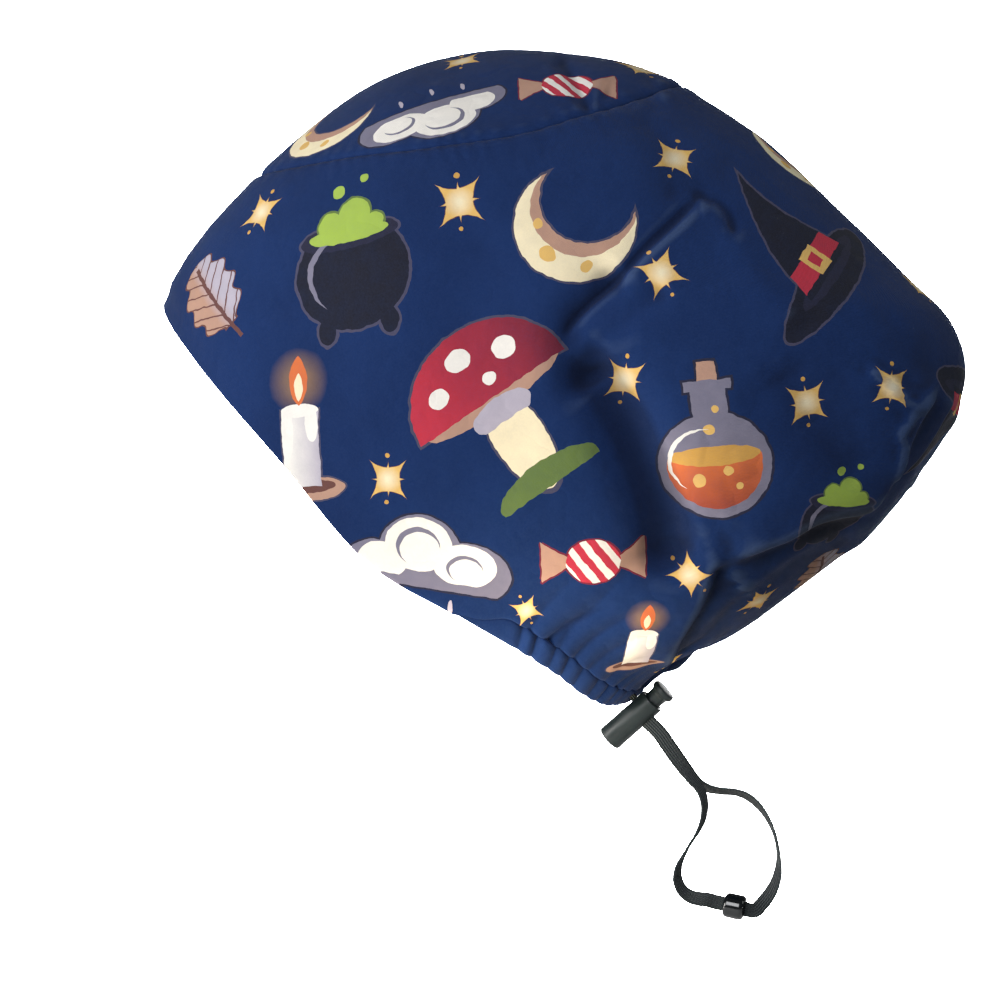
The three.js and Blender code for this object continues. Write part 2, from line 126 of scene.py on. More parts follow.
def spline(values, place):
    """Catmull-Rom curve through values at 0, 1, 2 and so on, read at place."""
    values = np.asarray(values, float)
    last = len(values) - 1
    first = np.clip(np.floor(place).astype(int), 0, last - 1)
    s = np.asarray(place - first)
    s = s.reshape(s.shape + (1,) * (values.ndim - 1))
    a = values[np.maximum(first - 1, 0)]
    b = values[first]
    c = values[first + 1]
    d = values[np.minimum(first + 2, last)]
    return b + 0.5 * s * (c - a + s * (2 * a - 5 * b + 4 * c - d + s * (3 * (b - c) + d - a)))


def even_path(points, count):
    """A spline through the points, read at count places that lie the same length apart."""
    fine = spline(points, np.linspace(0, len(points) - 1, 40 * len(points)))
    length = np.concatenate([[0], np.cumsum(np.linalg.norm(np.diff(fine, axis=0), axis=1))])
    wanted = np.linspace(0, length[-1], count)
    return np.stack([np.interp(wanted, length, fine[:, k]) for k in range(fine.shape[1])], -1)


def squares(rows, columns, close_rows, close_columns):
    """The four corners of each square of a grid whose points are numbered row by row."""
    row = np.arange(rows if close_rows else rows - 1)[:, None]
    column = np.arange(columns if close_columns else columns - 1)[None, :]
    next_row = (row + 1) % rows * columns
    next_column = (column + 1) % columns
    corners = (row * columns + column, row * columns + next_column, next_row + next_column, next_row + column)
    return np.stack(np.broadcast_arrays(*corners), -1).reshape(-1, 4)


def end_fans(low_row, high_row, columns, low_tip, high_tip):
    """Triangles that close a grid's two ends, each from a row of points to a tip of its own. A row is given
    by the number of its first point."""
    step = np.arange(columns)
    following = (step + 1) % columns
    low = np.stack([low_row + following, low_row + step, np.full(columns, low_tip)], -1)
    high = np.stack([high_row + step, high_row + following, np.full(columns, high_tip)], -1)
    return np.concatenate([low, high])


def outward(points, faces):
    """The faces, turned over if the volume that they close is negative: a sixth of the sum of a·(b×c)."""
    a = points[faces[:, 0]]
    volume = sum(
        np.einsum("ij,ij->", a, np.cross(points[faces[:, k]], points[faces[:, k + 1]]))
        for k in range(1, faces.shape[1] - 1))
    return faces[:, ::-1] if volume < 0 else faces


def make_piece(name, points, faces, material, body="cap"):
    """A mesh object at the origin from points in millimetres and faces, smooth, with its material and on its
    body.
    """
    mesh = bpy.data.meshes.new(name)
    mesh.from_pydata((points.reshape(-1, 3) * MM).tolist(), [], faces)
    mesh.polygons.foreach_set("use_smooth", np.ones(len(mesh.polygons), bool))
    mesh.materials.append(material)
    piece = add_object(name, mesh)
    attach(piece, body)
    print(name, "has", len(mesh.vertices), "points and", len(mesh.polygons), "faces")
    return piece


# %% [markdown]
# ## Finishes without a print
#
# A finish is a small graph of nodes. The tool below keeps the graphs short to write: each call adds one
# node, and its inputs may be numbers or other nodes' outputs. Black elastic is braided, so its finish is
# ribbed along and across. The lock is satin black plastic with faint mould grain, and the bead is polished.

# %% A tool that adds nodes


def linear(red, green, blue):
    """A colour given as screen values from 0 to 255, in the linear values that nodes use."""
    share = np.array([red, green, blue]) / 255
    light = np.where(share <= 0.04045, share / 12.92, ((share + 0.055) / 1.055) ** 2.4)
    return (*light.tolist(), 1.0)


class Graph:
    """The node graph of one material, with one call for each node."""

    def __init__(self, name, roughness, sheen=0.0, coat=0.0, specular=0.5):
        self.material = bpy.data.materials.new(name)
        self.material.use_nodes = True
        self.tree = self.material.node_tree
        self.shader = self.tree.nodes["Principled BSDF"]
        self.shader.inputs["Roughness"].default_value = roughness
        self.shader.inputs["Sheen Weight"].default_value = sheen
        self.shader.inputs["Coat Weight"].default_value = coat
        self.shader.inputs["Specular IOR Level"].default_value = specular
        self.coords = self.add("ShaderNodeTexCoord").outputs["Object"]

    def add(self, kind, **settings):
        node = self.tree.nodes.new(kind)
        for name, value in settings.items():
            setattr(node, name, value)
        return node

    def fill(self, socket, value):
        if isinstance(value, bpy.types.NodeSocket):
            self.tree.links.new(value, socket)
        else:
            socket.default_value = value

    def calc(self, operation, *values, clamp=False):
        node = self.add("ShaderNodeMath", operation=operation, use_clamp=clamp)
        for socket, value in zip(node.inputs, values):
            self.fill(socket, value)
        return node.outputs[0]

    def vector(self, operation, *values):
        node = self.add("ShaderNodeVectorMath", operation=operation)
        for socket, value in zip(node.inputs, values):
            self.fill(socket, value)
        return node.outputs["Value" if operation in ("LENGTH", "DOT_PRODUCT", "DISTANCE") else "Vector"]

    def parts(self, vector):
        node = self.add("ShaderNodeSeparateXYZ")
        self.fill(node.inputs[0], vector)
        return node.outputs

    def noise(self, vector, scale, detail=2.0, colour=False):
        node = self.add("ShaderNodeTexNoise")
        self.fill(node.inputs["Vector"], vector)
        node.inputs["Scale"].default_value = scale
        node.inputs["Detail"].default_value = detail
        return node.outputs["Color" if colour else "Fac"]

    def ramp(self, value, low, high, to_low=0.0, to_high=1.0):
        node = self.add("ShaderNodeMapRange")
        for socket, number in zip(node.inputs, (value, low, high, to_low, to_high)):
            self.fill(socket, number)
        return node.outputs[0]

    def mix(self, share, below, above, blend="MIX"):
        node = self.add("ShaderNodeMix", data_type="RGBA", blend_type=blend)
        self.fill(node.inputs["Factor"], share)
        self.fill(node.inputs[6], below)
        self.fill(node.inputs[7], above)
        return node.outputs[2]

    def attribute(self, name):
        return self.add("ShaderNodeAttribute", attribute_name=name).outputs["Fac"]

    def uv(self, name):
        return self.add("ShaderNodeUVMap", uv_map=name).outputs[0]

    def finish(self, colour=None, roughness=None, height=None, distance=0.0001, strength=1.0):
        if colour is not None:
            self.fill(self.shader.inputs["Base Color"], colour)
        if roughness is not None:
            self.fill(self.shader.inputs["Roughness"], roughness)
        if height is not None:
            bump = self.add("ShaderNodeBump")
            bump.inputs["Distance"].default_value = distance
            bump.inputs["Strength"].default_value = strength
            self.fill(bump.inputs["Height"], height)
            self.fill(self.shader.inputs["Normal"], bump.outputs[0])
        return self.material


# %% Elastic, lock and bead finishes


def elastic_finish():
    """Braided elastic: rows of small stitches across the band, each a sine along times a sine across."""
    graph = Graph("braided_elastic", 0.82, sheen=0.12)
    along, wide, _ = graph.parts(graph.uv("band"))
    rib = graph.calc("SINE", graph.calc("MULTIPLY", wide, 2 * math.pi / 0.9))
    stitch = graph.calc("SINE", graph.calc("MULTIPLY", along, 2 * math.pi / 1.1))
    height = graph.calc("MULTIPLY", rib, graph.calc("ADD", stitch, 1.4))
    dust = graph.noise(graph.coords, 900.0)
    colour = graph.mix(dust, linear(17, 24, 26), linear(36, 45, 47))
    lit = graph.mix(graph.ramp(height, -1.0, 2.0), colour, linear(44, 54, 56))
    return graph.finish(lit, graph.ramp(dust, 0.3, 0.7, 0.74, 0.9), height, 0.00022)


def lock_finish():
    """Satin black plastic: two noises, one for the grain of the mould and one for finger marks."""
    graph = Graph("satin_plastic", 0.4)
    grain = graph.noise(graph.coords, 2600.0)
    marks = graph.noise(graph.coords, 180.0, 4.0)
    colour = graph.mix(marks, linear(20, 28, 30), linear(33, 42, 44))
    return graph.finish(colour, graph.ramp(marks, 0.3, 0.7, 0.3, 0.5), grain, 0.00003)


def bead_finish():
    """Polished black plastic, with a faint wave of the polish."""
    graph = Graph("polished_plastic", 0.1, coat=0.4)
    wave = graph.noise(graph.coords, 420.0, 1.0)
    colour = graph.mix(wave, linear(8, 10, 12), linear(20, 23, 26))
    return graph.finish(colour, graph.ramp(wave, 0.3, 0.7, 0.08, 0.16), wave, 0.00002)


elastic_black = elastic_finish()
lock_black = lock_finish()
bead_black = bead_finish()
print("finishes made:", [m.name for m in bpy.data.materials if m.users == 0])

# %% [markdown]
# ## The drawcord
#
# The free loop is flat braided elastic, 5.5 mm wide. It shows from end to end, so its length is what shows:
# two strands that leave the cord lock side by side, part, and come round into the bead. Each strand is a
# rounded strip carried along a path, and it turns as it goes, as a limp flat band does.

# %% Where the lock is
lock_axis = -unit(np.array(frame["joints"][0]["axis"], float))
lock_out = np.array([lock_axis[2], 0.0, -lock_axis[0]])
barrel_radius = 5.0
barrel_top = 6.5
barrel_bottom = -16.0
barrel_low, barrel_high = (np.array(corner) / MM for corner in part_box("cord_lock_barrel"))
lock_place = (barrel_low + barrel_high) / 2 - lock_axis * (barrel_top + barrel_bottom) / 2
print("the middle of the lock's slot is at", lock_place.round(1), "mm")

# %% The elastic strip
elastic_width = 5.5
elastic_thickness = 1.2
strand_apart = 0.5 * elastic_thickness + 0.25
strand_spread = 2.2
strip_ribs = 6
strip_columns = 40
upright = 0.25
bead_place = lock_place + np.array([36.2, 0.0, -72.0])
bead_tilt = math.radians(11)
bead_direction = np.array([math.cos(bead_tilt), 0.0, -math.sin(bead_tilt)])
bead_length = 8.0
shared_route = [(7.7, -8.0), (10.7, -12.1), (14.0, -16.6), (17.4, -21.1), (20.8, -25.2)]
right_route = [
    (24.6, -28.0), (30.1, -29.3), (35.8, -29.7), (40.9, -31.5), (45.4, -35.3), (49.0, -40.6),
    (51.5, -46.9), (52.6, -53.9), (52.1, -60.5), (49.8, -66.4), (46.2, -71.1)]
left_route = [
    (24.0, -29.1), (25.4, -34.1), (25.0, -39.1), (23.1, -43.9), (20.4, -48.2), (17.6, -52.8),
    (15.3, -57.7), (14.9, -62.6), (17.0, -66.8), (20.8, -69.1), (25.8, -69.7)]


def strip_section(width, thickness):
    """A flat oval outline whose two faces carry shallow ribs: the thickness swells with a cosine across."""
    turn = np.linspace(0, 2 * math.pi, strip_columns, endpoint=False)
    wide = 0.5 * width * np.sign(np.cos(turn)) * np.abs(np.cos(turn)) ** 0.75
    swell = 1 - 0.1 * (0.5 - 0.5 * np.cos(2 * math.pi * strip_ribs * (wide / width + 0.5)))
    thick = 0.5 * thickness * np.sign(np.sin(turn)) * np.abs(np.sin(turn)) ** 0.45 * swell
    return wide, thick


def make_strip(name, path, turn, width=elastic_width, thickness=elastic_thickness):
    """An elastic strip carried along a path. turn is how far its width is turned from Y about the path, in
    whole turns, so a quarter is upright."""
    count = len(path)
    forward = unit(np.gradient(path, axis=0))
    sideways = unit(np.cross(forward, np.cross([0.0, 1.0, 0.0], forward)))
    lifted = np.cross(forward, sideways)
    angle = 2 * math.pi * turn[:, None]
    wide_way = np.cos(angle) * sideways + np.sin(angle) * lifted
    thick_way = np.cross(forward, wide_way)
    wide, thick = strip_section(width, thickness)
    points = path[:, None] + wide[:, None] * wide_way[:, None] + thick[:, None] * thick_way[:, None]
    columns = len(wide)
    flat = np.concatenate([points.reshape(-1, 3), path[:1], path[-1:]])
    grid = outward(flat, squares(count, columns, False, True))
    fans = end_fans(0, (count - 1) * columns, columns, count * columns, count * columns + 1)
    is_turned = grid[0, 1] != 1
    fans = fans[:, ::-1] if is_turned else fans
    faces = grid.tolist() + fans.tolist()
    piece = make_piece(name, flat, faces, elastic_black)
    length = np.concatenate([[0], np.cumsum(np.linalg.norm(np.diff(path, axis=0), axis=1))])
    band = np.stack([np.repeat(length, columns), np.tile(wide, count)], -1)
    band = np.concatenate([band, [[0, 0]], [[length[-1], 0]]])
    layer = piece.data.uv_layers.new(name="band")
    corners = np.empty(len(piece.data.loops), int)
    piece.data.loops.foreach_get("vertex_index", corners)
    layer.data.foreach_set("uv", band[corners].astype(np.float32).ravel())
    return piece, length[-1]


def strand_path(route, side):
    """A strand's centreline: out of the slot, down beside the other strand, round, and into the bead."""
    places = np.array(shared_route + route)
    share = np.linspace(0, 1, len(places))
    apart = strand_apart + strand_spread * np.sin(math.pi * share) ** 2
    middle = lock_place + np.stack([places[:, 0], side * apart, places[:, 1]], -1)
    start = lock_place + lock_out * (barrel_radius - 1.2) + np.array([0, side * strand_apart, 0])
    end = bead_place + bead_direction * side * (0.5 * bead_length - 1.0)
    lead = bead_place + bead_direction * side * (0.5 * bead_length + 3.5)
    return even_path(np.concatenate([[start], middle, [lead], [end]]), 260)


def make_strand(name, route, side, turns):
    """One strand of the free loop, with its turn along the path read from a few values."""
    path = strand_path(route, side)
    turn = spline(turns, np.linspace(0, len(turns) - 1, len(path)))
    piece, length = make_strip(name, path, turn)
    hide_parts("drawcord_left" if side < 0 else "drawcord_right")
    print(name, "is", round(length), "mm long")
    return piece, length, path


left_turns = [0.24, 0.22, 0.17, 0.10, 0.05, 0.02, -0.02, 0.03, 0.10, 0.20, 0.25]
right_turns = [0.26, 0.24, 0.30, 0.37, 0.42, 0.40, 0.43, 0.45, 0.38, 0.30, 0.25]
left_strand = make_strand("elastic_strand_left", left_route, -1, left_turns)
right_strand = make_strand("elastic_strand_right", right_route, 1, right_turns)

# %% [markdown]
# ## The cord lock and the bead
#
# The lock is a round barrel with a blind bore and a slot across it. A sprung plunger slides in the bore, and
# its own slot pinches the elastic. Both are turned shapes, so a profile is carried round the axis. The slots
# are cut afterwards with a Boolean, which is then applied, and its cutter is a strip with rounded ends.

# %% Turned mouldings
plunger_travel = 3.5
plunger_foot = 2.5
barrel_floor = 2.0
cutter_reach = 9.0
soft_edge = 0.22
slot_length = 6.2
slot_width = 3.4
barrel_bore = 3.8
plunger_shaft = 3.55
button_neck = 3.9
button_radius = 4.7
neck_height = 10.35
button_top = 13.15
bead_radius = 4.7
bead_bore = 1.6


def rounded(profile, amounts, steps=6):
    """A profile whose corners are cut back by amounts and joined by a quadratic curve through each corner."""
    places = []
    for index, (corner, amount) in enumerate(zip(profile, amounts)):
        corner = np.array(corner, float)
        before = corner + amount * unit(np.array(profile[index - 1], float) - corner)
        after = corner + amount * unit(np.array(profile[(index + 1) % len(profile)], float) - corner)
        share = np.linspace(0, 1, steps if amount else 1)[:, None]
        places.append((1 - share) ** 2 * before + 2 * share * (1 - share) * corner + share ** 2 * after)
    return np.concatenate(places)


def turned(name, profile, place, axis, material, slot, body="cap", steps=96):
    """A profile of (radius, height) rows carried round an axis: place + height·axis + radius·spoke. One that
    starts and ends on the axis is closed there by a fan at each end, and any other is closed on itself."""
    first = unit(np.cross(axis, [0.0, 1.0, 0.0]))
    second = np.cross(axis, first)
    angle = np.linspace(0, 2 * math.pi, steps, endpoint=False)
    spokes = np.cos(angle)[:, None] * first + np.sin(angle)[:, None] * second
    radius, height = profile[:, 0], profile[:, 1]
    rings = place + height[:, None, None] * axis + radius[:, None, None] * spokes[None]
    rows = len(rings)
    open_ends = radius[0] < 0.01 and radius[-1] < 0.01
    if not open_ends:
        points = rings.reshape(-1, 3)
        return make_piece(
            name, points, outward(points, squares(rows, steps, True, True)).tolist(), material, body)
    rings = rings[1:-1]
    rows -= 2
    ends = place + np.array([height[0], height[-1]])[:, None] * axis
    points = np.concatenate([rings.reshape(-1, 3), ends])
    fans = end_fans(0, (rows - 1) * steps, steps, rows * steps, rows * steps + 1)
    fans = np.concatenate([fans, fans[:, 2:]], -1)
    faces = outward(points, np.concatenate([squares(rows, steps, False, True), fans]))
    without_doubles = [list(dict.fromkeys(face)) for face in faces.tolist()]
    return make_piece(name, points, without_doubles, material, body)


def cut_slot(piece, middle):
    """Cuts the slot for the elastic: a bar along lock_out, slot_length by slot_width, with rounded ends."""
    turn = np.linspace(0, 2 * math.pi, 48, endpoint=False)
    straight = 0.5 * (slot_length - slot_width)
    rise = 0.5 * slot_width * np.sin(turn) + straight * np.sign(np.sin(turn))
    wide = 0.5 * slot_width * np.cos(turn)
    ring = middle + rise[:, None] * lock_axis + wide[:, None] * np.array([0.0, 1.0, 0.0])
    reach = np.array([-cutter_reach, cutter_reach])
    points = (ring[None] + reach[:, None, None] * lock_out).reshape(-1, 3)
    grid = squares(2, len(turn), False, True)
    caps = [list(range(len(turn)))[::-1], list(range(len(turn), 2 * len(turn)))]
    sides = outward(points, grid)
    if (sides[0] != grid[0]).any():
        caps = [cap[::-1] for cap in caps]
    mesh = bpy.data.meshes.new("slot_cutter")
    mesh.from_pydata((points * MM).tolist(), [], sides.tolist() + caps)
    cutter = add_object("slot_cutter", mesh)
    cut = piece.modifiers.new("slot", "BOOLEAN")
    cut.object = cutter
    cut.solver = "EXACT"
    bpy.context.view_layer.update()
    piece.data = bpy.data.meshes.new_from_object(piece.evaluated_get(bpy.context.evaluated_depsgraph_get()))
    piece.modifiers.clear()
    bpy.data.objects.remove(cutter)
    edge = piece.modifiers.new("soft_edges", "BEVEL")
    edge.width = soft_edge * MM
    edge.segments = 2
    edge.angle_limit = math.radians(50)


barrel_profile = rounded(
    [(0.0, barrel_bottom), (barrel_radius, barrel_bottom), (barrel_radius, barrel_top),
     (barrel_bore, barrel_top), (barrel_bore, barrel_bottom + barrel_floor),
     (0.0, barrel_bottom + barrel_floor)],
    [0, 1.1, 0.5, 0.3, 0.4, 0])
barrel = turned("lock_barrel", barrel_profile, lock_place, lock_axis, lock_black, "lock_plastic")
cut_slot(barrel, lock_place)
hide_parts("cord_lock_barrel")

foot_height = plunger_travel - 0.5 * slot_length - plunger_foot
plunger_profile = rounded(
    [(0.0, foot_height), (plunger_shaft, foot_height), (plunger_shaft, neck_height - 0.7),
     (button_neck, neck_height), (button_radius, neck_height + 0.7), (button_radius, button_top),
     (0.0, button_top)],
    [0, 0.3, 0.2, 0.2, 0.3, 0.9, 0])
plunger = turned(
    "lock_plunger", plunger_profile, lock_place, lock_axis, lock_black, "lock_plastic", body="plunger")
cut_slot(plunger, lock_place + plunger_travel * lock_axis)
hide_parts("cord_lock_plunger")

half_bead = 0.5 * bead_length
bead_profile = rounded(
    [(bead_bore, -half_bead), (bead_radius, -half_bead), (bead_radius, half_bead), (bead_bore, half_bead)],
    [0.5, 1.9, 1.9, 0.5], steps=9)
bead = turned("glossy_bead", bead_profile, bead_place, bead_direction, bead_black, "bead_plastic", steps=80)
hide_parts("cord_bead")

# %% [markdown]
# ## The plain cap
#
# Before it has a fold, the cap is a smooth shell. Each section of it is an oval curve that is rounder in
# front and squarer behind, and a dozen sections rise from the rim to the seam of the crown. The crown is the
# last section again, shrunk towards its middle and lifted. A whole array of angles and heights goes in, and
# an array of places comes out.

# %% The plain cap as a function
cap_length, cap_height, cap_width = 308.0, 246.0, 160.0
crown_rise = 31.0
crown_centre_share = 0.43
front_round = 2.1
section_columns = ("front_x", "front_z", "back_x", "back_z", "widest", "half", "round")
section_rows = np.array([
    [-0.325, 0.311, 0.250, -0.317, 0.000, 0.478, 2.1],
    [-0.319, 0.325, 0.301, -0.266, 0.006, 0.486, 2.1],
    [-0.315, 0.341, 0.380, -0.219, 0.018, 0.494, 2.2],
    [-0.307, 0.358, 0.461, -0.150, 0.036, 0.500, 2.3],
    [-0.298, 0.376, 0.549, -0.057, 0.056, 0.500, 2.4],
    [-0.288, 0.393, 0.620, 0.049, 0.076, 0.497, 2.4],
    [-0.277, 0.409, 0.669, 0.170, 0.094, 0.494, 2.3],
    [-0.266, 0.425, 0.655, 0.262, 0.102, 0.488, 2.3],
    [-0.253, 0.440, 0.596, 0.336, 0.102, 0.478, 2.2],
    [-0.239, 0.456, 0.516, 0.435, 0.096, 0.462, 2.2],
    [-0.222, 0.474, 0.425, 0.546, 0.083, 0.440, 2.1],
    [-0.200, 0.497, 0.328, 0.626, 0.065, 0.406, 2.1],
])
drop_degrees = [0, 20, 40, 65, 90, 115, 140, 160, 180]
rim_drop = [0.000, 0.004, -0.006, 0.012, 0.046, 0.018, 0.002, 0.000, 0.000]
seam_drop = [0.000, 0.014, 0.036, 0.050, 0.044, 0.026, 0.016, 0.008, 0.000]


def edge_drop(angle, shares):
    """How far an edge drops at an angle round from the nape: a spline through shares of the cap's height."""
    place = np.interp(np.degrees(np.abs(angle)), drop_degrees, np.arange(len(drop_degrees)))
    return cap_height * spline(shares, place)


def plain_point(angle, up):
    """A place on the plain cap. Along x and y a section is (|cos/reach|ᵖ + |sin/half|ᵖ) to the power -1/p
    from its widest place. up is 0 at the rim, 1 at the crown seam and 2 at the top of the crown."""
    angle, up = np.broadcast_arrays(np.asarray(angle, float), np.asarray(up, float))
    level = np.minimum(up, 1.0)
    section = spline(section_rows, level * (len(section_rows) - 1))
    row = dict(zip(section_columns, np.moveaxis(section, -1, 0)))
    front_x, back_x, widest = (cap_length * row[name] for name in ("front_x", "back_x", "widest"))
    front_z, back_z = cap_height * row["front_z"], cap_height * row["back_z"]
    cosine, sine = np.cos(angle), np.sin(angle)
    behind = cosine > 0
    reach = np.where(behind, back_x - widest, widest - front_x)
    power = np.where(behind, row["round"], front_round)
    half_width = cap_width * row["half"]
    radius = (np.abs(cosine / reach) ** power + np.abs(sine / half_width) ** power) ** (-1 / power)
    x, y = widest + radius * cosine, -radius * sine
    tilt = (back_z - front_z) / (back_x - front_x)
    drop = edge_drop(angle, rim_drop) * (1 - level) ** 2 + edge_drop(angle, seam_drop) * level ** 3
    z = front_z + (x - front_x) * tilt - drop
    share = np.minimum(2 - up, 1.0)
    centre_x = front_x + crown_centre_share * (back_x - front_x)
    centre_z = front_z + (centre_x - front_x) * tilt
    rise = crown_rise * (1 - share * share)
    z = centre_z + share * (z - centre_z) + rise
    return np.stack([centre_x + share * (x - centre_x), share * y, z], -1)


def plain_normal(angle, up):
    """The outward direction: the way up the cap crossed with the way round it."""
    small = 0.004
    round_way = plain_point(angle + small, up) - plain_point(angle - small, up)
    rising = plain_point(angle, np.minimum(up + small, 1.995)) - plain_point(angle, np.maximum(up - small, 0))
    return unit(np.cross(rising, round_way))


rim_angles = np.radians(np.arange(181))
rim_points = plain_point(rim_angles, 0.0)
rim_lengths = np.concatenate([[0], np.cumsum(np.linalg.norm(np.diff(rim_points, axis=0), axis=1))])
print("the rim is", round(2 * rim_lengths[-1]), "mm round")

# %% [markdown]
# ## Folds and gathers
#
# Cloth that hangs full folds where it is pulled. The big pull here runs from the back of the crown down to
# the side, where one part of the cloth tucks under the other, and the heavy pouch breaks over sharp edges
# underneath. A cloth simulation could find some folds, but not these ones. So each fold is a line drawn over
# the camera's picture. A point's distance from it sets how deep it sinks, and a step lifts one side of the
# line over the other. At the nape the elastic draws the cloth into gathers, which are grooves that start at
# the rim and die out upwards.

# %% Folds as lines over the picture
# line: pixels in the picture. valley: depth in mm, or a ridge if it is negative. width: mm from the line.
# step: how far the side on the right of the line's way stands above the other. reach: mm that it fades in.
folds = {
    "pull": dict(
        line=[(708, 188), (697, 199), (672, 224), (645, 249), (616, 279), (590, 302), (571, 322), (560, 345)],
        valley=2.0, width=2.1, step=-1.7, reach=15),
    "pull_soft": dict(
        line=[(628, 266), (606, 290), (586, 312), (573, 340), (580, 368), (598, 392)],
        valley=4.4, width=8.5, step=-1.4, reach=22),
    "side_hollow": dict(
        line=[(576, 342), (600, 376), (622, 414), (641, 456), (657, 495), (669, 540), (677, 592)],
        valley=8.5, width=12.0, step=-1.2, reach=28),
    "second_pull": dict(
        line=[(672, 282), (645, 304), (618, 326), (598, 343), (582, 360)],
        valley=1.9, width=6.0, step=-0.6, reach=14),
    "tuck": dict(
        line=[(734, 240), (729, 219), (725, 210), (718, 202), (709, 199), (701, 195), (692, 200)],
        valley=1.1, width=2.3, step=-1.4, reach=9),
    "tuck_tail": dict(
        line=[(728, 219), (740, 246), (755, 270), (778, 296), (806, 324)],
        valley=-1.2, width=6.5, step=0.8, reach=16),
    "crown_pleat": dict(
        line=[(553, 56), (564, 67), (571, 79), (581, 97), (592, 114)],
        valley=1.7, width=3.2, step=1.0, reach=9),
    "crown_dimple": dict(
        line=[(596, 92), (615, 98), (640, 96), (662, 88)], valley=1.6, width=6.0, step=0.0, reach=9),
    "seam_break": dict(
        line=[(633, 112), (648, 129), (658, 140), (663, 158), (667, 182), (672, 208)],
        valley=0.8, width=6.0, step=1.0, reach=14),
    "back_crease": dict(
        line=[(866, 366), (881, 378), (892, 387), (901, 397), (912, 402), (934, 396)],
        valley=-2.0, width=1.7, step=0.6, reach=8),
    "back_break": dict(
        line=[(912, 404), (903, 420), (896, 431), (897, 446), (893, 462), (886, 480)],
        valley=-2.0, width=1.7, step=1.2, reach=7),
    "pouch_back": dict(
        line=[(962, 378), (950, 402), (932, 434), (912, 468), (893, 502), (872, 530), (846, 552)],
        valley=-4.4, width=9.0, step=0.0, reach=9),
    "pouch_edge": dict(
        line=[(948, 372), (932, 396), (918, 420), (904, 448), (890, 473), (868, 505), (838, 517), (814, 524),
              (788, 539), (766, 548), (741, 558), (718, 567)],
        valley=-0.5, width=3.4, step=7.0, reach=20),
    "nape_edge": dict(
        line=[(735, 560), (717, 569), (711, 585), (702, 606), (691, 626), (678, 650), (668, 676)],
        valley=-0.4, width=3.2, step=5.4, reach=17),
    "under_fold": dict(
        line=[(845, 535), (812, 552), (778, 573), (748, 594), (722, 618), (700, 645)],
        valley=-0.8, width=4.0, step=2.6, reach=12),
    "front_soft": dict(
        line=[(252, 232), (262, 300), (292, 372), (340, 440)], valley=0.9, width=16.0, step=0.0, reach=9),
    "mid_soft": dict(
        line=[(480, 200), (470, 300), (486, 400), (520, 500)], valley=1.2, width=18.0, step=0.0, reach=9),
    "pouch_soft": dict(
        line=[(770, 360), (800, 410), (838, 450), (866, 480)], valley=1.4, width=12.0, step=0.0, reach=9),
}
far_shift = np.array([14.0, -12.0])
far_strength = 0.72


def fold_push(seen, fold):
    """How far a fold pushes each picture place out, in mm: minus its valley times a bell of the distance,
    plus half its step times a tanh of the signed distance, faded at the reach and at both ends."""
    line = even_path(fold["line"], 6 * len(fold["line"]))
    nearest = np.full(seen.shape[:-1], np.inf)
    signed = np.zeros_like(nearest)
    along = np.zeros_like(nearest)
    for index, (start, end) in enumerate(zip(line[:-1], line[1:])):
        way = end - start
        offset = seen - start
        share = np.clip(offset @ way / (way @ way), 0, 1)
        gap = offset - share[..., None] * way
        distance = np.hypot(gap[..., 0], gap[..., 1]) * mm_per_pixel
        side = np.sign(way[0] * offset[..., 1] - way[1] * offset[..., 0])
        closer = distance < nearest
        nearest = np.where(closer, distance, nearest)
        signed = np.where(closer, side * distance, signed)
        along = np.where(closer, (index + share) / (len(line) - 1), along)
    ends = smooth(0, 0.16, along) * smooth(0, 0.16, 1 - along)
    bell = np.exp(-((nearest / fold["width"]) ** 2))
    lift = np.tanh(signed / (0.55 * fold["width"])) * np.exp(-((nearest / fold["reach"]) ** 2))
    return ends * (0.5 * fold["step"] * lift - fold["valley"] * bell)


def all_folds(points):
    """Every fold's push. The far side has the same folds, seen in a mirror, shifted and a little weaker."""
    seen = picture(points)
    mirrored = picture(points * [1, -1, 1]) + far_shift
    near = smooth(-8, 14, -points[..., 1])
    far = smooth(-8, 14, points[..., 1]) * far_strength
    return sum(near * fold_push(seen, fold) + far * fold_push(mirrored, fold) for fold in folds.values())


# %% Gathers and small creases
casing_reach = 90.0
casing_height = 10.0
casing_tail = 8.0
gather_reach = 71.0
gather_random = np.random.default_rng(11)
gather_places = np.arange(-gather_reach, gather_reach + 1, 7.4)
gather_places = gather_places + gather_random.uniform(-1.6, 1.6, len(gather_places))
gather_depths = gather_random.uniform(1.5, 3.2, len(gather_places))
gather_widths = gather_random.uniform(1.7, 2.7, len(gather_places))
gather_heights = gather_random.uniform(20, 52, len(gather_places))
gather_slants = gather_random.uniform(-0.50, -0.08, len(gather_places))


def gather_push(length, height):
    """Grooves across the rim: each a sharp bell of the distance along the rim from its own line, which leans
    to the nape's middle as it rises and fades with the height."""
    total = np.zeros(np.broadcast(length, height).shape)
    gathers = zip(gather_places, gather_depths, gather_widths, gather_heights, gather_slants)
    for place, depth, width, rise, slant in gathers:
        away_from = (length - place - slant * np.sign(place) * height) / (width + 0.035 * height)
        total -= depth * np.exp(-np.abs(away_from) ** 1.3 - (height / rise) ** 2)
    past_last = smooth(gather_reach - 8, gather_reach + 8, np.abs(length))
    return total + 1.3 * np.exp(-((height / 36.0) ** 2)) * (1 - past_last)


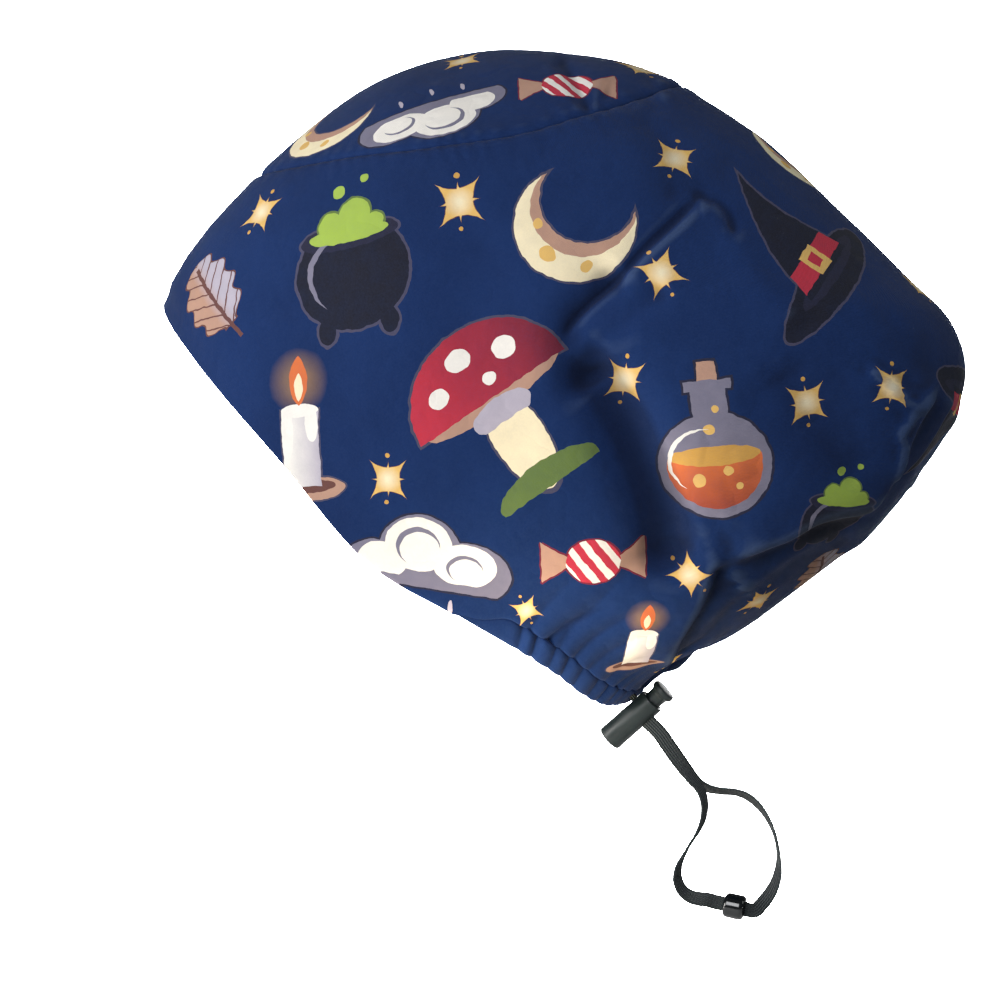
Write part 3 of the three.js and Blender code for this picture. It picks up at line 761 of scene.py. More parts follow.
def ripple(points, seed, count, shortest, longest, depth):
    """Small uneven swells: a sum of sines along random ways, of random lengths, over its count's root."""
    random = np.random.default_rng(seed)
    ways = unit(random.normal(size=(count, 3)))
    lengths = random.uniform(shortest, longest, count)
    starts = random.uniform(0, 2 * math.pi, count)
    waves = [
        np.sin(points @ way * 2 * math.pi / size + start) for way, size, start in zip(ways, lengths, starts)]
    return depth * sum(waves) / math.sqrt(count)


def rim_length(angle):
    """Millimetres along the rim from the nape, with the angle's sign."""
    return np.sign(angle) * np.interp(np.abs(angle), rim_angles, rim_lengths)


def cloth_push(angle, points, height):
    """How far the cloth on the head stands out from the plain cap: folds, gathers, swells and small creases.
    """
    broad = ripple(points, 3, 9, 45, 110, 0.55)
    rough = smooth(-20, 120, points[..., 0]) * 0.7 + 0.3
    patchy = 0.5 + 0.5 * ripple(points, 8, 5, 60, 120, 1.0)
    small = ripple(points, 5, 14, 9, 24, 0.14) * rough * patchy
    return all_folds(points) + gather_push(rim_length(angle), height) + broad + small


print(len(folds), "folds and", len(gather_places), "gathers")

# %% [markdown]
# ## The print
#
# The cotton is printed with night things on navy: stars, moons, clouds, flasks, toadstools, candles, hats,
# cauldrons, leaves and wrapped sweets. An image could hold such a print, but it would blur close up. Here
# each motif has a finish of its own, and each face of the cloth takes the finish of the motif that it lies
# on. The face carries its place on that motif in millimetres, from which the finish draws ovals and straight
# cuts. The print stays sharp at any size and follows the cloth into its folds.

# %% Shapes of the print


class Motifs(Graph):
    """Shapes on the motif's own plane. A shape is a distance in mm, negative inside its outline."""

    def start(self):
        wobble = self.noise(self.coords, 260.0, 1.0, colour=True)
        shift = self.vector("MULTIPLY_ADD", wobble, (1.3, 1.3, 0), (-0.65, -0.65, 0))
        self.place = self.vector("ADD", self.uv("motif"), shift)
        x, y, _ = self.parts(self.place)
        self.x, self.y = x, y
        self.side = self.calc("ABSOLUTE", x)
        self.mirrored = self.flat(self.side, y)

    def flat(self, x, y):
        """A place on the plane from its two coordinates."""
        node = self.add("ShaderNodeCombineXYZ")
        self.fill(node.inputs[0], x)
        self.fill(node.inputs[1], y)
        return node.outputs[0]

    def oval(self, x, y, wide, high, place=None):
        """An oval about x, y: the scaled offset's length less one, times the smaller radius."""
        scaled = self.vector(
            "MULTIPLY_ADD", place or self.place, (1 / wide, 1 / high, 0), (-x / wide, -y / high, 0))
        small = min(wide, high)
        return self.calc("MULTIPLY_ADD", self.vector("LENGTH", scaled), small, -small)

    def past(self, x, y, degrees, place=None):
        """Distance past a straight line through x, y, in the direction of degrees."""
        way = (math.cos(math.radians(degrees)), math.sin(math.radians(degrees)))
        dot = self.vector("DOT_PRODUCT", place or self.place, (*way, 0))
        return self.calc("SUBTRACT", dot, x * way[0] + y * way[1])

    def either(self, *shapes):
        """Where any of the shapes is: the least distance."""
        joined = shapes[0]
        for shape in shapes[1:]:
            joined = self.calc("MINIMUM", joined, shape)
        return joined

    def both(self, *shapes):
        """Where all of the shapes are: the greatest distance."""
        joined = shapes[0]
        for shape in shapes[1:]:
            joined = self.calc("MAXIMUM", joined, shape)
        return joined

    def without(self, shape, hole):
        """Where the shape is and the hole isn't."""
        return self.calc("MAXIMUM", shape, self.calc("MULTIPLY", hole, -1.0))

    def twinkle(self, tip, turned=False):
        """Four points with hollow sides: (xᵖ + yᵖ) to the power 1/p, less the tip, with p below one."""
        x, y = self.x, self.y
        if turned:
            both_ways = (self.calc(way, self.x, self.y) for way in ("ADD", "SUBTRACT"))
            x, y = (self.calc("MULTIPLY", one, 0.7071) for one in both_ways)
        wide, high = (self.calc("POWER", self.calc("ABSOLUTE", one), 0.58) for one in (x, y))
        return self.calc("SUBTRACT", self.calc("POWER", self.calc("ADD", wide, high), 1 / 0.58), tip)

    def bar(self, half_width, low, high):
        """An upright bar about the middle line, between two heights."""
        return self.both(
            self.past(half_width, 0, 0), self.past(-half_width, 0, 180), self.past(0, high, 90),
            self.past(0, low, -90))

    def coats(self, ground, *coats):
        """Coats of ink over the ground. Each is a shape, its ink, and how far past its outline it goes."""
        for shape, colour, *grow in coats:
            covered = self.calc("LESS_THAN", shape, grow[0] if grow else 0.0)
            ground = self.mix(covered, ground, ink[colour] if isinstance(colour, str) else colour)
        return ground


# %% The ink colours
ink = {
    "night": linear(38, 38, 56),
    "black": linear(27, 28, 40),
    "slate": linear(72, 70, 92),
    "grey": linear(122, 119, 137),
    "lavender": linear(178, 171, 184),
    "white": linear(238, 234, 226),
    "cream": linear(240, 226, 190),
    "gold": linear(224, 182, 104),
    "amber": linear(206, 158, 78),
    "orange": linear(212, 112, 62),
    "rust": linear(158, 74, 50),
    "red": linear(190, 52, 68),
    "wine": linear(112, 36, 52),
    "tan": linear(180, 142, 122),
    "brown": linear(104, 68, 60),
    "lime": linear(158, 184, 78),
    "moss": linear(98, 118, 62),
}

# %% Each motif's drawing


def draw_star(g, ground):
    long_way = g.twinkle(12.5)
    short_way = g.without(g.twinkle(8.0, turned=True), g.oval(0, 0, 1.0, 1.0))
    body = g.either(long_way, short_way)
    glow = g.ramp(g.vector("LENGTH", g.place), 0.8, 6.5)
    dots = g.either(g.oval(7.6, 7.6, 1.1, 1.1), g.oval(-7.9, -6.8, 0.9, 0.9))
    return g.coats(
        ground, (body, "brown", 0.7), (body, g.mix(glow, ink["cream"], ink["gold"])), (dots, "amber"))


def draw_moon(g, ground):
    disc = g.oval(0, 0, 21, 21)
    moon = g.without(disc, g.oval(9.5, 4.5, 17, 17))
    shade = g.without(disc, g.oval(6.2, 3.0, 18.4, 18.4))
    spots = g.either(g.oval(-14, -3, 2.6, 3.2), g.oval(-10, 8, 1.8, 1.8), g.oval(-6.5, -14.5, 2.4, 1.8))
    return g.coats(ground, (moon, "slate", 0.8), (moon, "tan"), (shade, "cream"), (spots, "gold"))


def draw_flask(g, ground):
    bulb = g.oval(0, -7, 20, 19)
    neck = g.bar(6.2, 0, 22)
    lip = g.bar(8.4, 19.8, 23.4)
    cork = g.both(g.past(5.2, 0, 4), g.past(-5.2, 0, 176), g.past(0, 30, 90), g.past(0, 21, -90))
    liquid = g.both(g.oval(0, -7, 16.8, 15.8), g.past(0, -3.5, 90))
    surface = g.oval(0, -3.5, 16.3, 3.6)
    bubbles = g.either(
        g.oval(-6, -12, 2.4, 2.4), g.oval(4.5, -9, 1.7, 1.7), g.oval(8, -15, 1.3, 1.3),
        g.oval(-1, 6, 1.9, 1.9), g.oval(1.8, 13, 1.3, 1.3))
    shine = g.without(g.oval(-5, -5, 11.5, 11.5), g.oval(-3.2, -5.8, 11.8, 11.8))
    glass = g.either(bulb, neck, lip)
    brew = g.mix(g.ramp(g.y, -22.0, -4.0), ink["rust"], ink["orange"])
    return g.coats(
        ground, (g.either(glass, cork), "night", 0.9), (cork, "tan"), (glass, "grey"), (liquid, brew),
        (surface, "amber"), (bubbles, "gold"), (shine, "white"))


def draw_toadstool(g, ground):
    cap = g.both(g.oval(0, 2, 28, 24), g.past(0, 1.5, -90))
    gills = g.oval(0, 2, 25.5, 5.2)
    stem = g.both(g.oval(0, -14, 8.5, 19), g.past(0, 4, 90))
    skirt = g.both(g.oval(0, -4, 11, 5), g.past(0, -7, -90))
    dots = g.either(
        g.oval(-15, 11, 3.6, 3.0), g.oval(-3, 18, 4.6, 3.4), g.oval(12, 13, 4.2, 3.6),
        g.oval(2.5, 7.5, 2.4, 2.0))
    grass = g.both(g.oval(0, -31, 19, 7), g.past(0, -32.5, -90))
    reds = g.mix(g.ramp(g.x, -22.0, 26.0), ink["red"], ink["wine"])
    return g.coats(
        ground, (g.either(cap, stem), "slate", 0.8), (stem, "cream"), (gills, "tan"), (skirt, "lavender"),
        (cap, reds), (dots, "white"), (grass, "moss"))


def draw_cloud(g, ground):
    lobes = g.either(g.oval(-24, -3, 16, 12), g.oval(-5, 6, 20, 18), g.oval(19, 0, 20, 14.5))
    cloud = g.both(lobes, g.past(0, -9.5, -90))
    light = g.both(
        g.either(g.oval(-22, 0, 12, 8.5), g.oval(-6, 10, 16, 12.5), g.oval(17, 3.5, 15, 10)),
        g.past(0, -5.5, -90))
    curl = g.without(g.oval(-6, 9, 10.5, 9.0), g.oval(-4.9, 7.6, 9.6, 8.2))
    second = g.without(g.oval(17, 2, 8.5, 6.5), g.oval(17.9, 0.9, 7.8, 5.9))
    rain = g.either(g.oval(-20, -17, 1.1, 3.6), g.oval(-4, -20, 1.1, 3.6), g.oval(13, -17, 1.1, 3.6))
    return g.coats(
        ground, (cloud, "night", 0.9), (cloud, "grey"), (light, "white"), (g.either(curl, second), "grey"),
        (rain, "lavender"))


def draw_candle(g, ground):
    wax = g.bar(8.5, -22, 9)
    top = g.oval(0, 9, 8.5, 2.8)
    drips = g.either(g.oval(-6, 0, 2.7, 10), g.oval(5.2, 3, 3.0, 7))
    dish = g.oval(0, -23, 19, 5)
    well = g.oval(0, -22, 14.5, 3)
    flame = g.both(g.oval(-5.0, 21, 9.2, 12), g.oval(5.0, 21, 9.2, 12))
    heart = g.both(g.oval(-4.2, 18.5, 6.2, 7.5), g.oval(4.2, 18.5, 6.2, 7.5))
    glow = g.ramp(g.oval(0, 21, 1, 1), 13.0, 4.0, 0.0, 0.34)
    waxes = g.mix(g.ramp(g.x, -6.0, 9.0), ink["white"], ink["lavender"])
    return g.coats(
        g.mix(glow, ground, ink["amber"]), (wax, "slate", 0.8), (g.oval(0, -23, 19.8, 5.8), "slate"),
        (dish, "tan"), (well, "brown"), (wax, waxes), (g.either(drips, top), "white"), (flame, "orange"),
        (heart, "cream"))


def draw_hat(g, ground):
    high = g.calc("MAXIMUM", g.y, 0.0)
    bent = g.flat(g.calc("MULTIPLY_ADD", g.calc("MULTIPLY", high, high), -0.013, g.x), g.y)
    cone = g.both(g.past(-17, -10, 156, bent), g.past(17, -10, 19, bent), g.past(0, -12, -90))
    brim = g.oval(0, -13, 33, 8.5)
    under = g.oval(2, -11.5, 24, 4.2)
    band = g.both(cone, g.past(0, -1.5, 90), g.past(0, -9.5, -90))
    buckle = g.without(g.bar(4.6, -10.5, -0.5), g.bar(2.3, -8, -3))
    return g.coats(
        ground, (cone, "slate", 1.0), (g.oval(0, -13, 34, 9.5), "slate"), (brim, "black"),
        (under, "night"), (cone, "black"), (band, "red"), (buckle, "gold"))


def draw_cauldron(g, ground):
    pot = g.both(g.oval(0, -5, 20, 18), g.past(0, 7, 90))
    rim = g.oval(0, 7.5, 17.5, 4.6)
    brew = g.oval(0, 8.2, 14.2, 3.0)
    froth = g.either(g.oval(-6, 12, 4.6, 4.4), g.oval(2.5, 14.5, 5.6, 5.2), g.oval(9.5, 10.5, 3.2, 3.0))
    rising = g.either(g.oval(-3, 23, 2.2, 2.2), g.oval(6.5, 26, 1.5, 1.5))
    feet = g.oval(11, -22, 3.2, 4.2, g.mirrored)
    shine = g.without(g.oval(-4, -4, 12, 12), g.oval(-1.6, -5.2, 12.4, 12.4))
    iron = g.either(pot, feet)
    return g.coats(
        ground, (iron, "slate", 0.9), (g.oval(0, 7.5, 18.4, 5.5), "slate"), (iron, "black"), (rim, "night"),
        (shine, "grey"), (froth, "moss", 0.7), (g.either(froth, brew, rising), "lime"))


def draw_leaf(g, ground):
    blade = g.both(g.oval(-10, 0, 23, 25), g.oval(10, 0, 23, 25))
    lobes = g.calc("MULTIPLY", g.calc("SINE", g.calc("MULTIPLY", g.y, 0.62)), 1.7)
    edge = g.calc("ADD", blade, lobes)
    leaf = g.both(edge, g.past(0, -19, -90))
    stalk = g.bar(0.9, -27, 18)
    slant = g.calc("SUBTRACT", g.y, g.calc("MULTIPLY", g.side, 0.9))
    vein = g.calc("SUBTRACT", g.calc("PINGPONG", slant, 3.4), 0.45)
    halves = g.mix(g.ramp(g.x, -4.0, 4.0), ink["tan"], ink["lavender"])
    return g.coats(
        ground, (leaf, "brown", 0.7), (leaf, halves), (g.both(vein, edge), "brown"), (stalk, "brown"))


def draw_sweet(g, ground):
    wrap = g.both(
        g.past(9, 0, 180, g.mirrored), g.past(21, 0, 0, g.mirrored), g.past(7, 0, 122, g.mirrored),
        g.past(7, 0, -122, g.mirrored))
    ball = g.oval(0, 0, 11, 9.5)
    stripe = g.calc("SINE", g.calc("MULTIPLY", g.calc("ADD", g.x, g.calc("MULTIPLY", g.y, 0.7)), 0.85))
    return g.coats(
        ground, (g.either(wrap, ball), "wine", 0.7), (wrap, "tan"), (ball, "white"),
        (g.both(ball, stripe), "red"))


# name, its drawing, and half of the oval that holds it, in mm: wide and high
motifs = [
    ("star", draw_star, 14, 14), ("moon", draw_moon, 23, 23), ("flask", draw_flask, 24, 33),
    ("toadstool", draw_toadstool, 33, 40), ("cloud", draw_cloud, 43, 27), ("candle", draw_candle, 25, 38),
    ("hat", draw_hat, 37, 39), ("cauldron", draw_cauldron, 26, 32), ("leaf", draw_leaf, 18, 30),
    ("sweet", draw_sweet, 24, 15),
]
motif_number = {row[0]: index + 1 for index, row in enumerate(motifs)}
motif_reach = {row[0]: row[2:] for row in motifs}

# %% [markdown]
# The cotton itself is a plain weave. Threads cross every half millimetre, so the bump is a product of two
# sines on the cloth's own coordinates. The dye is a little uneven and paler where a crease has rubbed, and
# the same paler ridges also stand as a painted highlight. Creases and hollows get painted shade, and the
# wrong side is much paler, where the print only shows through.

# %% The printed cotton


def cotton_finish(name, draw=None):
    """Navy cotton: ground dye, then a motif on the faces that hold one, then rubbed ridges with a painted
    highlight, painted shade in creases and hollows, weave and wrong side.
    """
    g = Motifs("printed_cotton_" + name, 0.88, sheen=0.045, specular=0.16)
    cloud = g.noise(g.coords, 26.0, 3.0)
    colour = g.mix(g.ramp(cloud, 0.3, 0.7), linear(8, 35, 80), linear(15, 43, 92))
    if draw:
        g.start()
        colour = draw(g, colour)
    brush = g.noise(g.coords, 150.0, 5.0)
    colour = g.mix(g.ramp(brush, 0.35, 0.65, 0.0, 0.07), colour, linear(44, 62, 102))
    fine = g.noise(g.coords, 1400.0, 2.0)
    colour = g.mix(g.ramp(fine, 0.3, 0.7, 0.0, 0.05), colour, linear(70, 88, 130))
    # Painted light and shade: ridges turn paler, partly as rubbed dye and partly as a painted highlight, and
    # creases turn darker with painted shade.
    colour = g.mix(g.ramp(g.attribute("ridge_rub_and_crease_shade"), 0.25, 0.9, 0.0, 0.22), colour, linear(92, 112, 142))
    colour = g.mix(g.ramp(g.attribute("ridge_rub_and_crease_shade"), -0.10, -0.8, 0.0, 0.45), colour, linear(6, 12, 30))
    # Painted shade in the broad hollows of the cloth.
    colour = g.mix(g.ramp(g.attribute("hollow"), 0.3, 3.0, 0.0, 0.42), colour, linear(4, 12, 34))
    colour = g.mix(g.calc("MULTIPLY", g.attribute("inside"), 0.5), colour, linear(84, 98, 134))
    warp, weft, _ = g.parts(g.uv("cloth"))
    over = g.calc("SINE", g.calc("MULTIPLY", warp, 2 * math.pi / 0.55))
    under = g.calc("SINE", g.calc("MULTIPLY", weft, 2 * math.pi / 0.55))
    weave = g.calc("MULTIPLY", over, under)
    crinkle = g.noise(g.coords, 75.0, 2.0)
    sharp = g.calc("ABSOLUTE", g.calc("SUBTRACT", crinkle, 0.5))
    height = g.calc("MULTIPLY_ADD", weave, 0.35, g.calc("MULTIPLY_ADD", sharp, 9.0, brush))
    return g.finish(colour, g.ramp(brush, 0.3, 0.7, 0.84, 0.94), height, 0.00012)


print_finishes = [cotton_finish("plain")] + [cotton_finish(row[0], row[1]) for row in motifs]
printed_cotton = print_finishes[0]
print("nodes in each finish:", [len(finish.node_tree.nodes) for finish in print_finishes])

# %% [markdown]
# ## Where the motifs go
#
# Motifs that face the camera are placed by the pixel where their middle shows. The far side has the same
# places seen in a mirror, with the large kinds swapped, so that the two sides differ. The middle of the back
# and the brow are placed by their angle from the nape and their height. A plane touches the cap at each
# middle, and a point's place on the motif is its direction on that plane at its true distance.

# %% Motif places
# kind, pixel across, pixel down, turn in degrees, size
near_places = [
    ("leaf", 212, 296, 28, 0.9), ("star", 262, 212, 10, 0.85), ("cauldron", 350, 258, -14, 1.15),
    ("star", 460, 203, 30, 0.95), ("moon", 574, 222, 15, 1.05), ("star", 676, 158, 5, 0.85),
    ("hat", 802, 250, 30, 1.05), ("star", 662, 272, 50, 0.85), ("candle", 298, 432, -20, 0.9),
    ("toadstool", 494, 402, 10, 1.12), ("star", 388, 480, 20, 0.8), ("star", 622, 380, 12, 0.8),
    ("flask", 714, 446, -18, 1.02), ("cloud", 428, 568, -34, 0.78), ("sweet", 594, 562, -25, 0.9),
    ("star", 808, 404, 33, 0.8), ("star", 888, 384, 20, 0.75), ("cauldron", 836, 508, -22, 0.72),
    ("star", 690, 574, 70, 0.7), ("star", 526, 612, 45, 0.55), ("star", 760, 606, 20, 0.75),
    ("candle", 640, 642, -40, 0.6),
]
# on the far side: kind here, kind there and its share of the size
far_kinds = {
    "cauldron": ("flask", 0.95), "flask": ("cauldron", 1.0), "toadstool": ("hat", 0.84),
    "hat": ("toadstool", 1.0)}
# kind, degrees from the nape, height between the rim and the crown seam, turn, size
middle_places = [
    ("star", 0, 0.10, 20, 0.75), ("leaf", 0, 0.31, 60, 0.74), ("hat", 0, 0.51, 175, 0.8),
    ("star", 0, 0.70, 15, 0.8), ("moon", 0, 0.88, 8, 0.75), ("star", 180, 0.45, 10, 0.8),
]
# the same for the crown, whose height runs from 1 at the seam to 2 at the top
crown_places = [
    ("moon", 140, 1.25, 25, 0.9), ("cloud", 90, 1.22, 172, 0.72), ("sweet", 37, 1.20, -30, 0.85),
    ("star", 6, 1.16, 20, 0.85), ("star", 62, 1.74, 20, 0.8), ("toadstool", -152, 1.45, 160, 0.72),
    ("star", 180, 1.14, 5, 0.75), ("star", -110, 1.14, 33, 0.75), ("leaf", -76, 1.37, 75, 0.82),
    ("star", -50, 1.14, 12, 0.75), ("cauldron", -18, 1.45, 200, 0.72),
]


def touching_plane(centres, outs, turns):
    """Two ways across the cloth at each centre: as near upright as can be, then turned in its own plane."""
    upright = np.array([-0.45, 0.0, 1.0])
    high = unit(upright - (outs @ upright)[:, None] * outs)
    wide = np.cross(high, outs)
    angle = np.radians(turns)[:, None]
    return np.cos(angle) * wide + np.sin(angle) * high, np.cos(angle) * high - np.sin(angle) * wide


def placements(rows, centres, outs):
    """Everything that the print needs of each motif, as arrays with a row for each."""
    kinds = [row[0] for row in rows]
    sizes = np.array([row[4] for row in rows])
    wide, high = touching_plane(centres, outs, np.array([row[3] for row in rows], float))
    return dict(
        centre=centres, wide=wide, high=high, size=sizes,
        number=np.array([motif_number[kind] for kind in kinds]),
        reach=np.array([motif_reach[kind] for kind in kinds]) * sizes[:, None])


def seen_places(rows, points, outs):
    """The grid points nearest to the rows' pixels, on the near side and then on the far side in a mirror."""
    found, chosen = [], []
    for side in (-1, 1):
        facing = points[..., 1] * side > -4
        seen = picture(points * [1, -side, 1])
        for kind, across_pixel, down_pixel, turn, size in rows:
            gap = np.hypot(seen[..., 0] - across_pixel, seen[..., 1] - down_pixel)
            gap = np.where(facing, gap, np.inf)
            index = np.unravel_index(gap.argmin(), gap.shape)
            if gap[index] > 12:
                continue
            far_kind, share = far_kinds.get(kind, (kind, 1.0))
            chosen.append((kind, 0, 0, turn, size) if side < 0 else (far_kind, 0, 0, -turn, share * size))
            found.append(index)
    where = tuple(np.array(found).T)
    return chosen, points[where], outs[where]


def placed_by_angle(rows):
    """Placements of rows that give the angle from the nape and the height."""
    spots = np.radians([row[1] for row in rows])
    ups = np.array([row[2] for row in rows])
    return placements(rows, plain_point(spots, ups), plain_normal(spots, ups))


def joined(*sets):
    """Several sets of placements as one."""
    return {name: np.concatenate([one[name] for one in sets]) for name in sets[0]}


def on_motif(points, places, index):
    """Places on motifs: the offset from the middle along the motif's two ways, at its true length."""
    offset = points - places["centre"][index]
    flat = np.stack([(offset * places[way][index]).sum(-1) for way in ("wide", "high")], -1)
    return flat, np.linalg.norm(offset, axis=-1) / np.maximum(np.linalg.norm(flat, axis=-1), 1e-6)


def lay_print(piece, plain, places, cloth, perimeter=math.inf):
    """Gives each face the finish of the motif whose oval holds its middle, and its corners their places. The
    threads' own coordinate starts again after each perimeter, so the face that closes the round adds one."""
    mesh = piece.data
    corners = np.empty(len(mesh.loops), int)
    mesh.loops.foreach_get("vertex_index", corners)
    totals = np.empty(len(mesh.polygons), int)
    mesh.polygons.foreach_get("loop_total", totals)
    starts = np.concatenate([[0], np.cumsum(totals)[:-1]])
    face = np.repeat(np.arange(len(totals)), totals)
    middle = np.add.reduceat(plain[corners], starts, axis=0) / totals[:, None]
    nearest, number = np.full(len(totals), np.inf), np.zeros(len(totals), int)
    for index, reach in enumerate(places["reach"]):
        flat, stretch = on_motif(middle, places, index)
        share = np.linalg.norm(flat / reach, axis=1) * stretch
        number = np.where(share < nearest, index, number)
        nearest = np.minimum(nearest, share)
    chosen = number[face]
    flat, stretch = on_motif(plain[corners], places, chosen)
    flat *= (np.clip(stretch, 1.0, 1.5) / places["size"][chosen])[:, None]
    mesh.uv_layers.new(name="motif").data.foreach_set("uv", flat.astype(np.float32).ravel())
    for finish in print_finishes[1:]:
        mesh.materials.append(finish)
    kind = np.where(nearest < 1.05, places["number"][number], 0)
    mesh.polygons.foreach_set("material_index", kind.astype(np.int32))
    threads = cloth[corners].copy()
    furthest = np.maximum.reduceat(threads[:, 0], starts)[face]
    threads[:, 0] += np.where(furthest - threads[:, 0] > 0.5 * perimeter, perimeter, 0)
    mesh.uv_layers.new(name="cloth").data.foreach_set("uv", threads.astype(np.float32).ravel())


def smallest_gap(places):
    """The least distance in mm between two motifs' ovals, on the line that joins their middles."""
    gaps = []
    for one in range(len(places["number"])):
        for other in range(one):
            apart = np.linalg.norm(places["centre"][one] - places["centre"][other])
            taken = 0.0
            for near_one, far_one in ((one, other), (other, one)):
                flat, stretch = on_motif(places["centre"][far_one], places, near_one)
                taken += apart / (np.linalg.norm(flat / places["reach"][near_one]) * stretch)
            gaps.append(apart - taken)
    return round(min(gaps), 1)


def carry(piece, name, values):
    """Stores one number for each point of a piece, for its finish to read."""
    layer = piece.data.attributes.new(name, "FLOAT", "POINT")
    layer.data.foreach_set("value", values.astype(np.float32).ravel())


# %% [markdown]
# ## Walls of cloth
#
# A cloth panel has an outer face, an inner face and two rounded edges. One ring of points after another
# goes up the outer face, over the top edge, down the inner face and round the bottom edge, so the whole
# wall is one grid. The crown has a middle instead of a top edge, and two fans close it there.

# %% Cloth walls
cloth_thickness = 1.0
hem_thickness = 2.0
hem_height = 12.0


def grid_normals(points):
    """Outward directions on a closed grid: the way up crossed with the way round, each by differences."""
    round_way = np.roll(points, -1, axis=1) - np.roll(points, 1, axis=1)
    return unit(np.cross(np.gradient(points, axis=0), round_way))


def wall(plain, plain_outs, push, thickness, inner_rows, top_edge=True, edge_steps=3):
    """Rings of a cloth wall, the row of the outer face that each belongs to, and whether it is inside. The
    inner face has fewer rows, so it keeps below the lowest push within a row's reach of it."""
    outer = plain + push[..., None] * plain_outs
    outs = grid_normals(outer)
    rows = len(outer)
    rings, source, inside = [outer], [np.arange(rows)], [np.zeros(rows)]
    back = np.linspace(rows - 1, 0, inner_rows).round().astype(int)
    reach = math.ceil(rows / (inner_rows - 1)) + 1
    padded = np.pad(push, ((reach, reach), (0, 0)), mode="edge")
    lowest = np.min([padded[k:k + rows] for k in range(2 * reach + 1)], axis=0)
    lowest = np.min([np.roll(lowest, k, axis=1) for k in (-2, -1, 0, 1, 2)], axis=0)
    arc = np.linspace(0, math.pi, edge_steps + 2)[1:-1]

    def edge(row, next_row, turns):
        half = 0.5 * thickness[row][:, None]
        way = unit(outer[row] - outer[next_row])
        middle = outer[row] - half * outs[row]
        rings.append(np.stack([middle + half * (np.cos(t) * outs[row] + np.sin(t) * way) for t in turns]))
        source.append(np.full(edge_steps, row % rows))
        inside.append(np.zeros(edge_steps))

    if top_edge:
        edge(-1, -2, arc)
    rings.append(plain[back] + (lowest - thickness)[back][..., None] * plain_outs[back])
    source.append(back)
    inside.append(np.ones(inner_rows))
    edge(0, 1, arc[::-1])
    return np.concatenate(rings), np.concatenate(source), np.concatenate(inside)


def hump(push, spread=3):
    """How much each point stands above its surroundings: its push less the mean of four places round it."""
    padded = np.pad(push, ((spread, spread), (0, 0)), mode="edge")
    around = padded[2 * spread:] + padded[:-2 * spread] + np.roll(push, spread, 1) + np.roll(push, -spread, 1)
    return push - around / 4


def up_at_height(angle, height):
    """The value of up that lies height mm above the rim, read back from the heights of 60 trial values."""
    trial = np.linspace(0, 0.3, 60)
    points = plain_point(angle[:, None], trial)
    heights = np.linalg.norm(points - points[:, :1], axis=-1)
    return np.array([np.interp(h, row, trial) for h, row in zip(height, heights)])


def channel_height(length):
    """The channel's height along the rim: it narrows over its last stretch and ends inside the hem."""
    apart = np.abs(length)
    narrow = 1 - 0.68 * smooth(casing_reach - 16, casing_reach, apart)
    return casing_height * narrow * (1 - 0.85 * smooth(casing_reach - 3, casing_reach + casing_tail, apart))


def body_start(length):
    """Where the body panel begins above the rim: over the channel, and at the rim beyond its ends."""
    past_end = smooth(-2, 1, np.abs(length) - casing_reach - casing_tail)
    return (channel_height(length) + 0.15) * (1 - past_end)


def crowded_angles(count):
    """Angles all round, closer together at the gathered nape and on the side that has the deep folds."""
    fine = np.linspace(-math.pi, math.pi, 2000)
    density = 1 + 0.7 * np.exp(-((fine / 0.6) ** 2)) + 0.5 * np.exp(-(((fine - 1.2) / 0.9) ** 2))
    total = np.concatenate([[0], np.cumsum(0.5 * (density[1:] + density[:-1]))])
    return np.interp(np.linspace(0, total[-1], count, endpoint=False), total, fine)


# %% The body panel
body_rows, body_columns = 154, 564
body_inner_rows = 15
angles = crowded_angles(body_columns)
first_up = up_at_height(angles, body_start(rim_length(angles)))
seam_inset = 0.0012
ups = first_up + (1 - seam_inset - first_up) * np.linspace(0, 1, body_rows)[:, None]
body_plain = plain_point(angles[None], ups)
body_outs = plain_normal(angles[None], ups)
body_height = np.linalg.norm(body_plain - plain_point(angles, 0.0), axis=-1)
body_push = cloth_push(angles[None], body_plain, body_height)
to_seam = np.linalg.norm(body_plain - plain_point(angles, 1.0), axis=-1)


def seam_push(distance, angle):
    """A sewn seam: the cloth rolls inwards at the stitches, and puckers a little beside them."""
    pucker = 0.16 * np.sin(angle * 62 + 2.2 * np.sin(angle * 9)) * np.exp(-((distance / 8) ** 2))
    return pucker - 0.95 * np.exp(-((distance / 1.3) ** 2)) + 0.2 * np.exp(-(((distance - 4.5) / 3) ** 2))


body_push = body_push + seam_push(to_seam, angles[None])
hem = 1 - smooth(0.6 * hem_height, hem_height, body_height)
body_wall = cloth_thickness + (hem_thickness - cloth_thickness) * hem
body_rings, body_source, body_inside = wall(body_plain, body_outs, body_push, body_wall, body_inner_rows)
body_faces = outward(
    body_rings.reshape(-1, 3), squares(len(body_rings), body_columns, True, True))
# Painted shade: the broad hump darkens the cloth in its hollows, fading out near the rim.
body_hollow_shade = -hump(body_push, 14) * smooth(8, 45, body_height)
